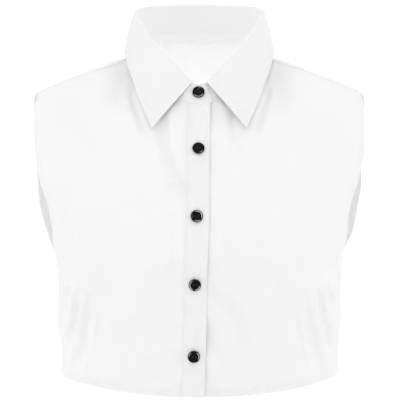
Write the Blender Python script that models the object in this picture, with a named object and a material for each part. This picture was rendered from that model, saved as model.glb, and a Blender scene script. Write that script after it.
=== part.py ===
"""Detachable shirt collar: a sleeveless cropped shirt front and back with a point collar.

It keeps the hollow, filled-out shape that it has when worn. X runs across it (+X is the wearer's
left), the front faces -Y, Z is up, and the origin is inside the neck, level with the points
where the shoulder seams meet the collar. The tables are in millimetres.
"""
import math
from collections import namedtuple

import bmesh
import bpy
import numpy as np
from mathutils import Matrix, Vector

for old_object in list(bpy.data.objects):
    bpy.data.objects.remove(old_object, do_unlink=True)

MM = 0.001

# Cloth walls and the seams between pieces
CLOTH = 1.2
STAND_CLOTH = 1.4
LAYER_GAP = 0.37
SEAM_TRIM = 0.36
NECK_SEAM_TRIM = 1.32
LAYER_STEP = CLOTH + LAYER_GAP

# Neckline: the seam of the panels and the collar stand, an ellipse in plan
NECK_HALF_WIDTH = 70.0
NECK_FRONT = 61.0
NECK_BACK = 52.0
NECK_FRONT_Z = -50.0
NECK_SIDE_Z = 1.0
NECK_BACK_Z = 20.0
SHOULDER_SEAM_ANGLE = 81.0
SHOULDER_TIP = (167.5, -6.0, -41.0)
TOP_KNOT_RISE = 40.0

# Collar: its fold line is an ellipse in plan, with the heights of FOLD_LINE
FOLD_HALF_WIDTH = 64.2
FOLD_FRONT = 51.0
FOLD_BACK = 47.0
FOLD_ROLL = 1.8
FOLD_SEAM_GAP = 0.85
LEAF_BULGE = 1.2
LEAF_FRONT_ANGLE = 6.0
STAND_LAP = 0.95
STAND_OUTER_END = 11.0
STAND_INNER_END = 14.0
STAND_END_DROP = 5.0

# Front closure
NECK_COLUMN = 0.38
PLACKET_WIDTH = 24.0
BUTTON_STAND_EDGE = -15.0
LAP_FADE = (14.0, 46.0)
CLOSURE_FADE = (17.0, 28.0)
LAP_CELLS_END = 16.0

# Buttons: 20 line, four holes
BUTTON_RADIUS = 6.3
BUTTON_HEIGHT = 2.4
BUTTON_SEAT = 0.35
TOP_BUTTON_SEAT = 0.55
BUTTON_HOLE_RADIUS = 0.8
BUTTON_HOLE_SPACING = 1.45

# Side view of a button from its underside to its dished centre, in shares of radius and height
ButtonRing = namedtuple("ButtonRing", "distance level")
BUTTON_RINGS = (
    ButtonRing(0.72, 0.0),
    ButtonRing(0.93, 0.22),
    ButtonRing(1.0, 0.55),
    ButtonRing(0.95, 0.90),
    ButtonRing(0.86, 1.0),
    ButtonRing(0.74, 0.90),
    ButtonRing(0.66, 0.62),
)

# How fast a section rises on its way to the side, as a share of its whole rise
SIDE_RISE = 1.27

# One row for each level of the body form. The centre is on the front or back mid line, and the
# side is where the level crosses the line under the arm. Fullness is how far the section runs
# straight out from the centre, as a share of side_x, and pull is how far it runs straight back
# from the side. Reach is how much of the section the cloth covers: under 1 it stops at the armhole.
Section = namedtuple("Section", "name centre_y centre_z side_x side_z fullness pull reach")
FRONT_SECTIONS = (
    Section("hem", -97.0, -349.0, 144.9, -337.6, 0.62, 58.0, 1.0),
    Section("above hem", -100.0, -318.0, 146.8, -309.0, 0.62, 60.0, 1.0),
    Section("ribs", -106.0, -270.0, 148.2, -266.0, 0.63, 64.0, 1.0),
    Section("under bust", -112.5, -234.0, 149.4, -231.0, 0.65, 69.0, 1.0),
    Section("underarm", -115.3, -214.5, 149.8, -213.6, 0.66, 72.0, 1.0),
    Section("armhole foot", -116.3, -207.0, 150.4, -209.4, 0.66, 72.5, 0.945),
    Section("armhole curve", -117.0, -198.0, 152.6, -200.5, 0.655, 73.0, 0.89),
    Section("bust", -116.6, -182.0, 156.5, -186.0, 0.645, 73.0, 0.84),
    Section("upper bust", -112.0, -157.0, 162.8, -161.0, 0.62, 74.0, 0.80),
    Section("chest", -101.5, -128.0, 174.2, -128.5, 0.60, 76.0, 0.785),
    Section("collar point", -86.5, -98.0, 179.0, -92.0, 0.58, 76.0, 0.80),
    Section("upper chest", -73.0, -72.0, 175.0, -60.0, 0.56, 75.0, 0.86),
)
BACK_SECTIONS = (
    Section("hem", 84.0, -345.0, 144.9, -337.6, 0.62, 53.0, 1.0),
    Section("above hem", 84.5, -314.0, 146.8, -309.0, 0.62, 54.5, 1.0),
    Section("ribs", 88.0, -268.0, 148.2, -266.0, 0.62, 59.0, 1.0),
    Section("under blades", 92.0, -232.5, 149.4, -231.0, 0.62, 65.0, 1.0),
    Section("underarm", 93.8, -213.0, 149.8, -213.6, 0.62, 69.0, 1.0),
    Section("armhole curve", 96.0, -190.0, 159.6, -202.0, 0.60, 64.0, 0.87),
    Section("armhole", 97.3, -168.0, 172.8, -182.5, 0.585, 57.0, 0.80),
    Section("blades", 97.5, -136.0, 185.2, -145.0, 0.575, 57.0, 0.755),
    Section("upper blades", 94.5, -98.0, 186.2, -100.0, 0.56, 57.0, 0.765),
    Section("yoke", 86.5, -56.0, 181.2, -67.0, 0.54, 50.0, 0.83),
    Section("shoulders", 73.0, -18.0, 174.5, -46.5, 0.47, 33.0, 0.93),
)

# How the cloth leaves its top edge, at shares of the way from the mid line to the shoulder tip.
# The shoulder seam meets the neck at NECK_COLUMN. Length is how far it keeps that direction.
Leave = namedtuple("Leave", "share x y z length")
FRONT_LEAVE = (
    Leave(0.0, 0.0, -0.50, -0.87, 24.0),
    Leave(0.20, 0.12, -0.62, -0.77, 34.0),
    Leave(0.38, 0.14, -0.80, -0.58, 52.0),
    Leave(0.70, 0.08, -0.86, -0.50, 40.0),
    Leave(1.0, 0.06, -0.90, -0.42, 24.0),
)
BACK_LEAVE = (
    Leave(0.0, 0.0, 0.50, -0.87, 34.0),
    Leave(0.20, 0.50, 0.60, -0.62, 34.0),
    Leave(0.30, 0.78, 0.52, -0.34, 40.0),
    Leave(0.38, 0.56, 0.80, 0.16, 42.0),
    Leave(0.50, 0.24, 0.80, 0.56, 46.0),
    Leave(0.68, 0.10, 0.86, 0.50, 40.0),
    Leave(0.84, 0.08, 0.88, 0.46, 34.0),
    Leave(1.0, 0.10, 0.97, 0.22, 20.0),
)

# Height of the collar's fold at angles round the neck, 0 at the front and 180 at the back
FoldHeight = namedtuple("FoldHeight", "angle height")
FOLD_LINE = (
    FoldHeight(0.0, -29.4),
    FoldHeight(6.0, -28.0),
    FoldHeight(17.0, -15.3),
    FoldHeight(31.0, 0.0),
    FoldHeight(54.0, 20.8),
    FoldHeight(66.0, 31.5),
    FoldHeight(78.0, 39.8),
    FoldHeight(92.0, 44.0),
    FoldHeight(130.0, 48.6),
    FoldHeight(180.0, 50.5),
)

# Outer edge of the collar leaf, on the wearer's left, for the fold's angle above it
LeafEdge = namedtuple("LeafEdge", "angle x y z")
LEAF_EDGE = (
    LeafEdge(6.0, 48.0, -82.5, -75.5),
    LeafEdge(28.0, 59.0, -63.5, -52.5),
    LeafEdge(50.0, 66.8, -46.5, -31.7),
    LeafEdge(68.0, 72.5, -32.0, -16.9),
    LeafEdge(84.0, 76.6, -13.0, -4.6),
    LeafEdge(100.0, 78.0, 6.0, 0.5),
    LeafEdge(130.0, 67.0, 38.5, 5.5),
    LeafEdge(155.0, 39.0, 57.0, 7.5),
    LeafEdge(180.0, 0.0, 63.0, 8.0),
)

# Free edge of the placket, from the stand to the hem, and the buttons down its middle
PlacketEdge = namedtuple("PlacketEdge", "z x")
PLACKET_EDGE = (
    PlacketEdge(-349.0, 5.2),
    PlacketEdge(-274.0, 7.1),
    PlacketEdge(-232.0, 7.5),
    PlacketEdge(-172.0, 9.8),
    PlacketEdge(-50.0, 10.9),
)
ButtonPlace = namedtuple("ButtonPlace", "name x z")
PLACKET_BUTTONS = (
    ButtonPlace("button_2", -0.9, -97.4),
    ButtonPlace("button_3", -2.6, -163.5),
    ButtonPlace("button_4", -4.4, -231.6),
    ButtonPlace("button_5", -5.6, -305.8),
)
TOP_BUTTON_X = -0.5
TOP_BUTTON_RISE = 0.48

# Largest folds of the fronts: a soft trough, or a ridge where depth is positive, from a high
# point to a low one in the front view. Side -1 is the wearer's right, 1 the left, 0 is both.
Fold = namedtuple("Fold", "name side high_x high_z low_x low_z half_width depth")
FRONT_FOLDS = (
    Fold("shoulder hollow", 0, 79.0, -14.0, 88.0, -50.0, 13.0, -5.5),
    Fold("strain ridge, outer", 0, 131.0, -246.0, 137.0, -286.0, 6.0, 2.0),
    Fold("strain trough, outer", 0, 123.0, -250.0, 133.0, -288.0, 6.0, -2.6),
    Fold("strain ridge, inner", 0, 116.0, -252.0, 129.0, -312.0, 6.5, 2.4),
    Fold("strain trough, inner", 0, 108.0, -254.0, 121.0, -306.0, 6.5, -2.4),
    Fold("chest fold, upper", -1, 39.0, -76.0, 27.0, -116.0, 7.0, -3.2),
    Fold("chest fold, lower", -1, 27.0, -116.0, 5.0, -146.0, 7.0, -3.0),
    Fold("chest fold", 1, 33.0, -66.0, 35.0, -92.0, 8.0, -2.8),
)

# Grid of each wall: height of a panel's cells, and the cells along and up each stretch
PANEL_CELL_HEIGHT = 14.0
FRONT_CELLS_NECK = 8
FRONT_CELLS_SHOULDER = 10
BACK_CELLS_NECK = 8
BACK_CELLS_SHOULDER = 9
LAP_CELLS = 2
COLLAR_CELLS = 40
STAND_CELLS_UP = 3
ROLL_CELLS = 3
LEAF_CELLS_DOWN = 6
BUTTON_SIDES = 18


def unit(vectors):
    """Vectors divided by their own lengths, along the last axis."""
    return vectors / np.linalg.norm(vectors, axis=-1, keepdims=True)


def smooth_step(low, high, value):
    """0 below low, 1 above high, and a smooth rise between them."""
    share = np.clip((value - low) / (high - low), 0.0, 1.0)
    return share * share * (3.0 - 2.0 * share)


def curve_through(knots, rows, places, last_tangent=None):
    """Cubic curves through rows (one for each knot) at places, one curve for each place.

    rows has the shape (knots, places, 3). A tangent is the harmonic mean of the slopes on either
    side, and 0 at a high or low point, so no curve passes its rows. last_tangent, where it is
    given, is the tangent at the last row.
    """
    knots = np.asarray(knots, dtype=float)
    steps = np.diff(rows, axis=0) / np.diff(knots)[:, None, None]
    below, above = steps[:-1], steps[1:]
    both_ways = below * above
    total = np.where(both_ways > 0.0, below + above, 1.0)
    middle = np.where(both_ways > 0.0, 2.0 * both_ways / total, 0.0)
    slopes = np.concatenate([steps[:1], middle, steps[-1:]])
    if last_tangent is not None:
        slopes[-1] = last_tangent / (knots[-1] - knots[-2])
    start = np.clip(np.searchsorted(knots, places, side="right") - 1, 0, len(knots) - 2)
    column = np.arange(len(places))
    span = (knots[start + 1] - knots[start])[:, None]
    t = (places[:, None] - knots[start][:, None]) / span
    before, after = rows[start, column], rows[start + 1, column]
    leave, arrive = slopes[start, column] * span, slopes[start + 1, column] * span
    return ((2 * t**3 - 3 * t**2 + 1) * before + (t**3 - 2 * t**2 + t) * leave
            + (-2 * t**3 + 3 * t**2) * after + (t**3 - t**2) * arrive)


def table_curve(table, places):
    """Smooth values of a table's other columns at places along its first column."""
    rows = np.array([[float(value) for value in row] for row in table])
    values = np.repeat(rows[:, None, 1:], len(places), axis=1)
    return curve_through(rows[:, 0], values, np.asarray(places, dtype=float))


def ring(angle, half_width, front, back):
    """Point of an ellipse in plan, at an angle in degrees from the front, towards +X."""
    turn = np.radians(angle)
    depth = np.where(np.cos(turn) > 0.0, front, back)
    return np.stack([half_width * np.sin(turn), -depth * np.cos(turn)], axis=-1)


def neckline(angle):
    """Neck seam: its plan ellipse, tilted down to the front and dipped between."""
    cosine = np.cos(np.radians(angle))
    tilt = (NECK_BACK_Z - NECK_FRONT_Z) / 2.0
    dip = NECK_SIDE_Z - (NECK_BACK_Z + NECK_FRONT_Z) / 2.0
    height = NECK_SIDE_Z - tilt * cosine - dip * cosine**2
    plan = ring(angle, NECK_HALF_WIDTH, NECK_FRONT, NECK_BACK)
    return np.concatenate([plan, height[..., None]], axis=-1)


def section_point(section, outward):
    """Point of one section at 0 (mid line) to 1 (edge): a cubic Bezier with the row's handles."""
    towards_side = -math.copysign(1.0, section.centre_y)
    centre = np.array([0.0, section.centre_y, section.centre_z])
    side = np.array([section.side_x, 0.0, section.side_z])
    first = centre + np.array([section.fullness * section.side_x, 0.0, 0.0])
    rise = (SIDE_RISE - 1.0) * (section.side_z - section.centre_z)
    second = side + np.array([0.0, -towards_side * section.pull, rise])
    t = section.reach * outward[:, None]
    return ((1 - t)**3 * centre + 3 * (1 - t)**2 * t * first + 3 * (1 - t) * t**2 * second
            + t**3 * side)


def top_edge(sections, outward):
    """Top of a panel: round the neckline to the shoulder seam, then along that seam."""
    start = 0.0 if sections is FRONT_SECTIONS else 180.0
    share = np.clip(outward / NECK_COLUMN, 0.0, 1.0)
    neck = neckline(start + (SHOULDER_SEAM_ANGLE - start) * share)
    along = np.clip((outward - NECK_COLUMN) / (1.0 - NECK_COLUMN), 0.0, 1.0)[:, None]
    corner = neckline(np.array([SHOULDER_SEAM_ANGLE]))
    return neck + along * (np.array(SHOULDER_TIP) - corner)


def leave_top(sections, outward):
    """Direction and length in which the cloth leaves its top edge."""
    table = FRONT_LEAVE if sections is FRONT_SECTIONS else BACK_LEAVE
    value = table_curve(table, outward)
    return unit(value[:, :3]) * value[:, 3:]


def section_knots(sections):
    """Place of each section up its panel, 0 at the hem to 1 at the top edge."""
    heights = [section.centre_z + section.side_z for section in sections]
    heights.append(2.0 * SHOULDER_TIP[2] + TOP_KNOT_RISE)
    knots = np.array(heights)
    return (knots - knots[0]) / (knots[-1] - knots[0])


def panel_point(sections, across, up):
    """Form of the front or the back: across is -1 to 1 from armhole to armhole, up is 0 to 1."""
    across, up = np.broadcast_arrays(np.asarray(across, float), np.asarray(up, float))
    shape = across.shape
    across, up = across.ravel(), up.ravel()
    outward = np.abs(across)
    rows = [section_point(section, outward) for section in sections]
    rows.append(top_edge(sections, outward))
    rows = np.stack(rows)
    point = curve_through(section_knots(sections), rows, up, -leave_top(sections, outward))
    point[:, 0] *= np.sign(across)
    return point.reshape(shape + (3,))


def rows_up(sections):
    """Places of the grid's rows: each section, and even steps between it and the next."""
    knots = section_knots(sections)
    spans = np.diff(knots)
    lengths = np.linalg.norm(np.diff(panel_point(sections, NECK_COLUMN, knots), axis=0), axis=1)
    cells = np.maximum(1, np.round(lengths / PANEL_CELL_HEIGHT)).astype(int)
    pieces = [low + span * np.arange(count) / count
              for low, span, count in zip(knots, spans, cells)]
    return np.concatenate(pieces + [knots[-1:]])


def panel_normal(sections, across, up):
    """Outward direction of the form, from two small steps over it."""
    step = 1e-4
    low, high = np.clip(np.asarray(up) - step, 0.0, 1.0), np.clip(np.asarray(up) + step, 0.0, 1.0)
    sideways = (panel_point(sections, np.asarray(across) + step, up)
                - panel_point(sections, np.asarray(across) - step, up))
    upwards = panel_point(sections, across, high) - panel_point(sections, across, low)
    facing = 1.0 if sections is FRONT_SECTIONS else -1.0
    return facing * unit(np.cross(sideways, upwards))


def fold_depth(point):
    """Sum of the folds at points: each is a soft groove along a line in the front view.

    They fade out at the closure, where three layers lie on each other.
    """
    total = np.zeros(point.shape[:-1])
    for fold in FRONT_FOLDS:
        sides = (-1, 1) if fold.side == 0 else (fold.side,)
        for side in sides:
            high = np.array([side * fold.high_x, fold.high_z])
            low = np.array([side * fold.low_x, fold.low_z])
            flat = point[..., [0, 2]]
            along = ((flat - high) @ (low - high)) / ((low - high) @ (low - high))
            nearest = high + np.clip(along, 0.0, 1.0)[..., None] * (low - high)
            away = np.linalg.norm(flat - nearest, axis=-1) / fold.half_width
            total += fold.depth * np.exp(-away**2)
    return total * smooth_step(*CLOSURE_FADE, np.abs(point[..., 0]))


def folded_panel(sections, across, up, lift=0.0):
    """Middle surface of a panel: the form, moved out by its folds and by lift."""
    point = panel_point(sections, across, up)
    normal = panel_normal(sections, across, up)
    depth = fold_depth(point) if sections is FRONT_SECTIONS else np.zeros(point.shape[:-1])
    return point + normal * (depth + lift)[..., None]


def across_at(x, up):
    """Place across the front where its form is at x, by stepping along the section."""
    across = x / 270.0
    for _ in range(6):
        slope = (panel_point(FRONT_SECTIONS, across + 1e-3, up)[..., 0]
                 - panel_point(FRONT_SECTIONS, across - 1e-3, up)[..., 0]) / 2e-3
        across = across - (panel_point(FRONT_SECTIONS, across, up)[..., 0] - x) / slope
    return across


def place_at(x, z):
    """Place (across, up) where the front's form is at x and z."""
    up = (z - FRONT_SECTIONS[0].centre_z) / (NECK_FRONT_Z - FRONT_SECTIONS[0].centre_z)
    for _ in range(12):
        across = across_at(x, up)
        slope = (panel_point(FRONT_SECTIONS, across, up + 1e-3)[..., 2]
                 - panel_point(FRONT_SECTIONS, across, up - 1e-3)[..., 2]) / 2e-3
        up = up - (panel_point(FRONT_SECTIONS, across, up)[..., 2] - z) / slope
    return across_at(x, up), up


def trimmed(grid, bottom=0.0, top=0.0, left=0.0, right=0.0):
    """Grid with its outer rows and columns drawn in along the cloth by the given lengths."""
    grid = grid.copy()
    grid[0] += bottom * unit(grid[1] - grid[0])
    grid[-1] += top * unit(grid[-2] - grid[-1])
    grid[:, 0] += left * unit(grid[:, 1] - grid[:, 0])
    grid[:, -1] += right * unit(grid[:, -2] - grid[:, -1])
    return grid


def material(name, colour, roughness):
    """Principled material of one colour."""
    new_material = bpy.data.materials.new(name)
    new_material.use_nodes = True
    shader = new_material.node_tree.nodes["Principled BSDF"]
    shader.inputs["Base Color"].default_value = (*colour, 1.0)
    shader.inputs["Roughness"].default_value = roughness
    new_material.diffuse_color = (*colour, 1.0)
    return new_material


def add_object(name, mesh, finish):
    """New object with its own finish, smooth but for its sharp edges."""
    mesh.shade_smooth()
    mesh.set_sharp_from_angle(angle=math.radians(50.0))
    mesh.materials.append(finish)
    new_object = bpy.data.objects.new(name, mesh)
    bpy.context.scene.collection.objects.link(new_object)
    return new_object


def wall(name, grid, thickness, finish):
    """Closed cloth wall: the grid's points moved half the thickness out and in, and its rim.

    The grid's rows run up and its columns run to the right as the outer face is seen.
    """
    rows, columns = grid.shape[:2]
    sideways = np.gradient(grid, axis=1)
    upwards = np.gradient(grid, axis=0)
    normal = unit(np.cross(sideways, upwards))
    outer = grid + normal * thickness / 2.0
    inner = grid - normal * thickness / 2.0
    points = np.concatenate([outer.reshape(-1, 3), inner.reshape(-1, 3)]) * MM
    index = np.arange(rows * columns).reshape(rows, columns)
    a, b, c, d = index[:-1, :-1], index[:-1, 1:], index[1:, 1:], index[1:, :-1]
    faces_out = np.stack([a, b, c, d], axis=-1).reshape(-1, 4)
    faces_in = faces_out[:, ::-1] + rows * columns
    loop = np.concatenate([index[0, :-1], index[:-1, -1], index[-1, :0:-1], index[:0:-1, 0]])
    following = np.roll(loop, -1)
    rim = np.stack([loop, loop + rows * columns, following + rows * columns, following], axis=-1)
    mesh = bpy.data.meshes.new(name)
    mesh.from_pydata(points.tolist(), [], np.concatenate([faces_out, faces_in, rim]).tolist())
    mesh.update()
    return add_object(name, mesh, finish)


def front_columns(inner_x, up):
    """Places across a front for each row: from a lap edge at inner_x to its armhole.

    inner_x is measured towards the other front, so the lap runs past the mid line.
    """
    lap_edge = across_at(-inner_x, up)
    lap_end = across_at(np.full_like(up, LAP_CELLS_END), up)
    pieces = []
    for cell in range(LAP_CELLS):
        pieces.append(lap_edge + (lap_end - lap_edge) * cell / LAP_CELLS)
    for cell in range(FRONT_CELLS_NECK):
        pieces.append(lap_end + (NECK_COLUMN - lap_end) * cell / FRONT_CELLS_NECK)
    for cell in range(FRONT_CELLS_SHOULDER + 1):
        share = np.full_like(up, cell / FRONT_CELLS_SHOULDER)
        pieces.append(NECK_COLUMN + (1.0 - NECK_COLUMN) * share)
    return np.stack(pieces, axis=-1)


def placket_edge(up):
    """Free edge of the placket at each place up the front."""
    heights = panel_point(FRONT_SECTIONS, np.zeros_like(up), up)[:, 2]
    return table_curve(PLACKET_EDGE, heights)[:, 0]


def build_back(finish):
    """Back panel: one piece that rolls over the shoulders to the seams."""
    up = rows_up(BACK_SECTIONS)
    neck = NECK_COLUMN * np.arange(BACK_CELLS_NECK) / BACK_CELLS_NECK
    shoulder = np.linspace(NECK_COLUMN, 1.0, BACK_CELLS_SHOULDER + 1)
    half = np.concatenate([neck, shoulder])
    across = np.concatenate([half[:0:-1], -half])
    grid = folded_panel(BACK_SECTIONS, across[None, :], up[:, None])
    grid = trimmed(grid, left=SEAM_TRIM, right=SEAM_TRIM)
    on_neck = np.abs(across) < NECK_COLUMN + 1e-6
    trim = np.where(on_neck, NECK_SEAM_TRIM, SEAM_TRIM)[:, None]
    grid[-1] += trim * unit(grid[-2] - grid[-1])
    wall("back", grid, CLOTH, finish)


def build_front(name, side, inner_x, finish):
    """Front panel of one side, from its lap edge to its armhole and side seam."""
    up = rows_up(FRONT_SECTIONS)
    outward = front_columns(inner_x(up), up)
    across = side * outward
    form = panel_point(FRONT_SECTIONS, across, up[:, None])
    under = 1.0 if side > 0 else 0.0
    lift = -under * LAYER_STEP * (1.0 - smooth_step(*LAP_FADE, form[..., 0]))
    grid = folded_panel(FRONT_SECTIONS, across, up[:, None], lift)
    grid = trimmed(grid, right=SEAM_TRIM)
    on_neck = outward[-1] < NECK_COLUMN + 1e-6
    trim = np.where(on_neck, NECK_SEAM_TRIM, SEAM_TRIM)[:, None]
    grid[-1] += trim * unit(grid[-2] - grid[-1])
    if side < 0:
        grid = grid[:, ::-1]
    wall(name, grid, CLOTH, finish)


def build_placket(finish):
    """Placket strip on the wearer's right front, made from that panel's points moved out."""
    up = rows_up(FRONT_SECTIONS)
    free_edge = placket_edge(up)
    share = np.linspace(0.0, 1.0, 4)
    x = free_edge[:, None] - PLACKET_WIDTH * (1.0 - share[None, :])
    across = across_at(x, up[:, None])
    grid = folded_panel(FRONT_SECTIONS, across, up[:, None], np.full(x.shape, LAYER_STEP))
    grid = trimmed(grid, top=NECK_SEAM_TRIM)
    wall("placket", grid, CLOTH, finish)


def fold_point(angle):
    """Top of the collar's fold."""
    height = table_curve(FOLD_LINE, np.abs(angle))
    return np.concatenate([ring(angle, FOLD_HALF_WIDTH, FOLD_FRONT, FOLD_BACK), height], axis=-1)


def fold_frame(angle):
    """Outward and upward directions square to the fold line."""
    step = 0.5
    along = unit(fold_point(angle + step) - fold_point(angle - step))
    plan = np.stack([-along[:, 1], along[:, 0], np.zeros(len(angle))], axis=-1)
    outward = -unit(plan)
    upward = unit(np.cross(along, outward))
    upward *= np.sign(upward[:, 2:])
    return outward, upward


def collar_angles():
    """Angles of the collar's grid, from a leaf's front edge to the mid back."""
    return np.linspace(LEAF_FRONT_ANGLE, 180.0, COLLAR_CELLS // 2 + 1)


def stand_top(angle):
    """Top edge of the stand, under the roll of the fold."""
    outward, upward = fold_frame(angle)
    return fold_point(angle) - upward * (FOLD_ROLL + CLOTH / 2.0 + FOLD_SEAM_GAP)


def build_stand(finish):
    """Collar stand: a band from the neck seam to the fold, its two ends lapped in front."""
    outer = -math.degrees(math.asin(STAND_OUTER_END / NECK_FRONT))
    inner = math.degrees(math.asin(STAND_INNER_END / NECK_FRONT))
    leaf_lap = np.concatenate([collar_angles(), 360.0 - collar_angles()[-2::-1]])
    outer_end = np.linspace(outer, 0.0, LAP_CELLS + 1)
    inner_end = np.linspace(360.0, 360.0 + inner, LAP_CELLS + 1)
    lap = np.concatenate([outer_end, leaf_lap, inner_end])
    angle = -lap
    turned = (angle + 180.0) % 360.0 - 180.0
    bottom, top = neckline(turned), stand_top(turned)
    past = np.maximum(-lap, lap - 360.0)
    middle_top = stand_top(np.zeros(1))[0, 2]
    lap_top = ring(turned, FOLD_HALF_WIDTH, FOLD_FRONT, FOLD_BACK)
    lap_height = middle_top - STAND_END_DROP * np.clip(past / inner, 0.0, 1.0)**2
    lapped = np.concatenate([lap_top, lap_height[:, None]], axis=-1)
    top = np.where(past[:, None] > 0.0, lapped, top)
    radial = unit(bottom * np.array([1.0, 1.0, 0.0]))
    offset = STAND_LAP * np.cos(np.clip(np.radians(lap) * 2.0, 0.0, math.pi / 2.0))
    offset -= STAND_LAP * np.cos(np.clip(np.radians(360.0 - lap) * 2.0, 0.0, math.pi / 2.0))
    share = np.linspace(0.0, 1.0, STAND_CELLS_UP + 1)[:, None, None]
    grid = bottom + share * (top - bottom) + radial * offset[:, None]
    wall("collar_stand", grid, STAND_CLOTH, finish)


def build_leaf(finish):
    """Collar leaf: rolls over the fold and falls to its edge, with a point at each front end."""
    half = collar_angles()
    edge = table_curve(LEAF_EDGE, half)
    angle = np.concatenate([-half, half[-2::-1]])
    edge = np.concatenate([edge * np.array([-1.0, 1.0, 1.0]), edge[-2::-1]])
    outward, upward = fold_frame(angle)
    start = fold_point(angle) - upward * (FOLD_ROLL + CLOTH / 2.0)
    centre = start + outward * FOLD_ROLL
    rows = []
    for turn in np.linspace(0.0, math.pi, ROLL_CELLS + 1):
        rows.append(centre - outward * FOLD_ROLL * math.cos(turn)
                    + upward * FOLD_ROLL * math.sin(turn))
    foot = rows[-1]
    middle = (foot + edge) / 2.0 + unit(outward + upward) * LEAF_BULGE * 2.0
    for share in np.linspace(0.0, 1.0, LEAF_CELLS_DOWN + 1)[1:]:
        rows.append((1 - share)**2 * foot + 2 * share * (1 - share) * middle + share**2 * edge)
    wall("collar_leaf", np.stack(rows)[::-1], CLOTH, finish)


def button_mesh():
    """Button turned about Z: flat underside, raised rim, dished centre and four holes."""
    build = bmesh.new()
    rings = []
    turns = [2.0 * math.pi * side / BUTTON_SIDES for side in range(BUTTON_SIDES)]
    for row in BUTTON_RINGS:
        radius = row.distance * BUTTON_RADIUS * MM
        height = row.level * BUTTON_HEIGHT * MM
        rings.append([build.verts.new((radius * math.cos(turn), radius * math.sin(turn), height))
                      for turn in turns])
    for low, high in zip(rings, rings[1:]):
        for side in range(BUTTON_SIDES):
            following = (side + 1) % BUTTON_SIDES
            build.faces.new((low[side], low[following], high[following], high[side]))
    build.faces.new(rings[0][::-1])
    build.faces.new(rings[-1])
    mesh = bpy.data.meshes.new("button")
    build.to_mesh(mesh)
    build.free()
    return mesh


def hole_cutter():
    """Four pins that cut the thread holes."""
    build = bmesh.new()
    for x_side in (-1.0, 1.0):
        for y_side in (-1.0, 1.0):
            place = Matrix.Translation((x_side * BUTTON_HOLE_SPACING * MM,
                                        y_side * BUTTON_HOLE_SPACING * MM,
                                        BUTTON_HEIGHT * MM / 2.0))
            bmesh.ops.create_cone(build, cap_ends=True, segments=6, matrix=place,
                                  radius1=BUTTON_HOLE_RADIUS * MM,
                                  radius2=BUTTON_HOLE_RADIUS * MM, depth=2.0 * BUTTON_HEIGHT * MM)
    mesh = bpy.data.meshes.new("hole_pins")
    build.to_mesh(mesh)
    build.free()
    pins = bpy.data.objects.new("hole_pins", mesh)
    bpy.context.scene.collection.objects.link(pins)
    pins.hide_render = True
    pins.display_type = "WIRE"
    return pins


def drilled_button():
    """Button mesh with its holes cut, shared by the five buttons."""
    blank = bpy.data.objects.new("button_blank", button_mesh())
    bpy.context.scene.collection.objects.link(blank)
    pins = hole_cutter()
    cut = blank.modifiers.new("holes", "BOOLEAN")
    cut.operation = "DIFFERENCE"
    cut.object = pins
    bpy.context.view_layer.update()
    evaluated = blank.evaluated_get(bpy.context.evaluated_depsgraph_get())
    mesh = bpy.data.meshes.new_from_object(evaluated)
    bpy.data.objects.remove(blank, do_unlink=True)
    bpy.data.objects.remove(pins, do_unlink=True)
    return mesh


def place_button(name, mesh, seat, normal, finish):
    """Button on its seat, its face along the cloth's outward direction."""
    button = add_object(name, mesh.copy(), finish)
    axis = Vector(normal)
    side = Vector((1.0, 0.0, 0.0))
    side = (side - axis * side.dot(axis)).normalized()
    turn = Matrix((side, axis.cross(side), axis)).transposed()
    button.matrix_world = Matrix.Translation(Vector(seat * MM)) @ turn.to_4x4()


def build_buttons(finish):
    """Top button on the lapped stand, and four down the placket."""
    mesh = drilled_button()
    angle = np.array([math.degrees(math.asin(TOP_BUTTON_X / NECK_FRONT))])
    bottom, top = neckline(angle)[0], stand_top(angle)[0]
    up_stand = unit(top - bottom)
    normal = unit(np.cross(np.array([1.0, 0.0, 0.0]), up_stand))
    seat = bottom + TOP_BUTTON_RISE * (top - bottom)
    seat = seat + normal * (STAND_LAP + STAND_CLOTH / 2.0 + TOP_BUTTON_SEAT)
    place_button("button_1", mesh, seat, normal, finish)
    for place in PLACKET_BUTTONS:
        across, up = place_at(np.array([place.x]), np.array([place.z]))
        normal = panel_normal(FRONT_SECTIONS, across, up)[0]
        lift = np.array([LAYER_STEP + CLOTH / 2.0 + BUTTON_SEAT])
        seat = folded_panel(FRONT_SECTIONS, across, up, lift)[0]
        place_button(place.name, mesh, seat, normal, finish)


def build_shirt():
    """Every piece, each with its own finish."""
    white = (0.90, 0.90, 0.91)
    black = (0.012, 0.012, 0.014)
    build_back(material("back cotton", white, 0.85))
    build_front("front_right", -1, placket_edge, material("right front cotton", white, 0.85))
    build_front("front_left", 1, lambda up: np.full_like(up, -BUTTON_STAND_EDGE),
                material("left front cotton", white, 0.85))
    build_placket(material("placket cotton", white, 0.85))
    build_stand(material("stand cotton", white, 0.85))
    build_leaf(material("leaf cotton", white, 0.85))
    build_buttons(material("black button", black, 0.18))


build_shirt()
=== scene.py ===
"""Looks of the detachable shirt collar: a white sleeveless cropped shirt with a point collar.

X runs across it, +X to the wearer's left, the front faces -Y and Z is up. Sizes and tables are in
millimetres from the middle of the neck, and the meshes are in metres.
"""

import math
from collections import namedtuple

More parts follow.
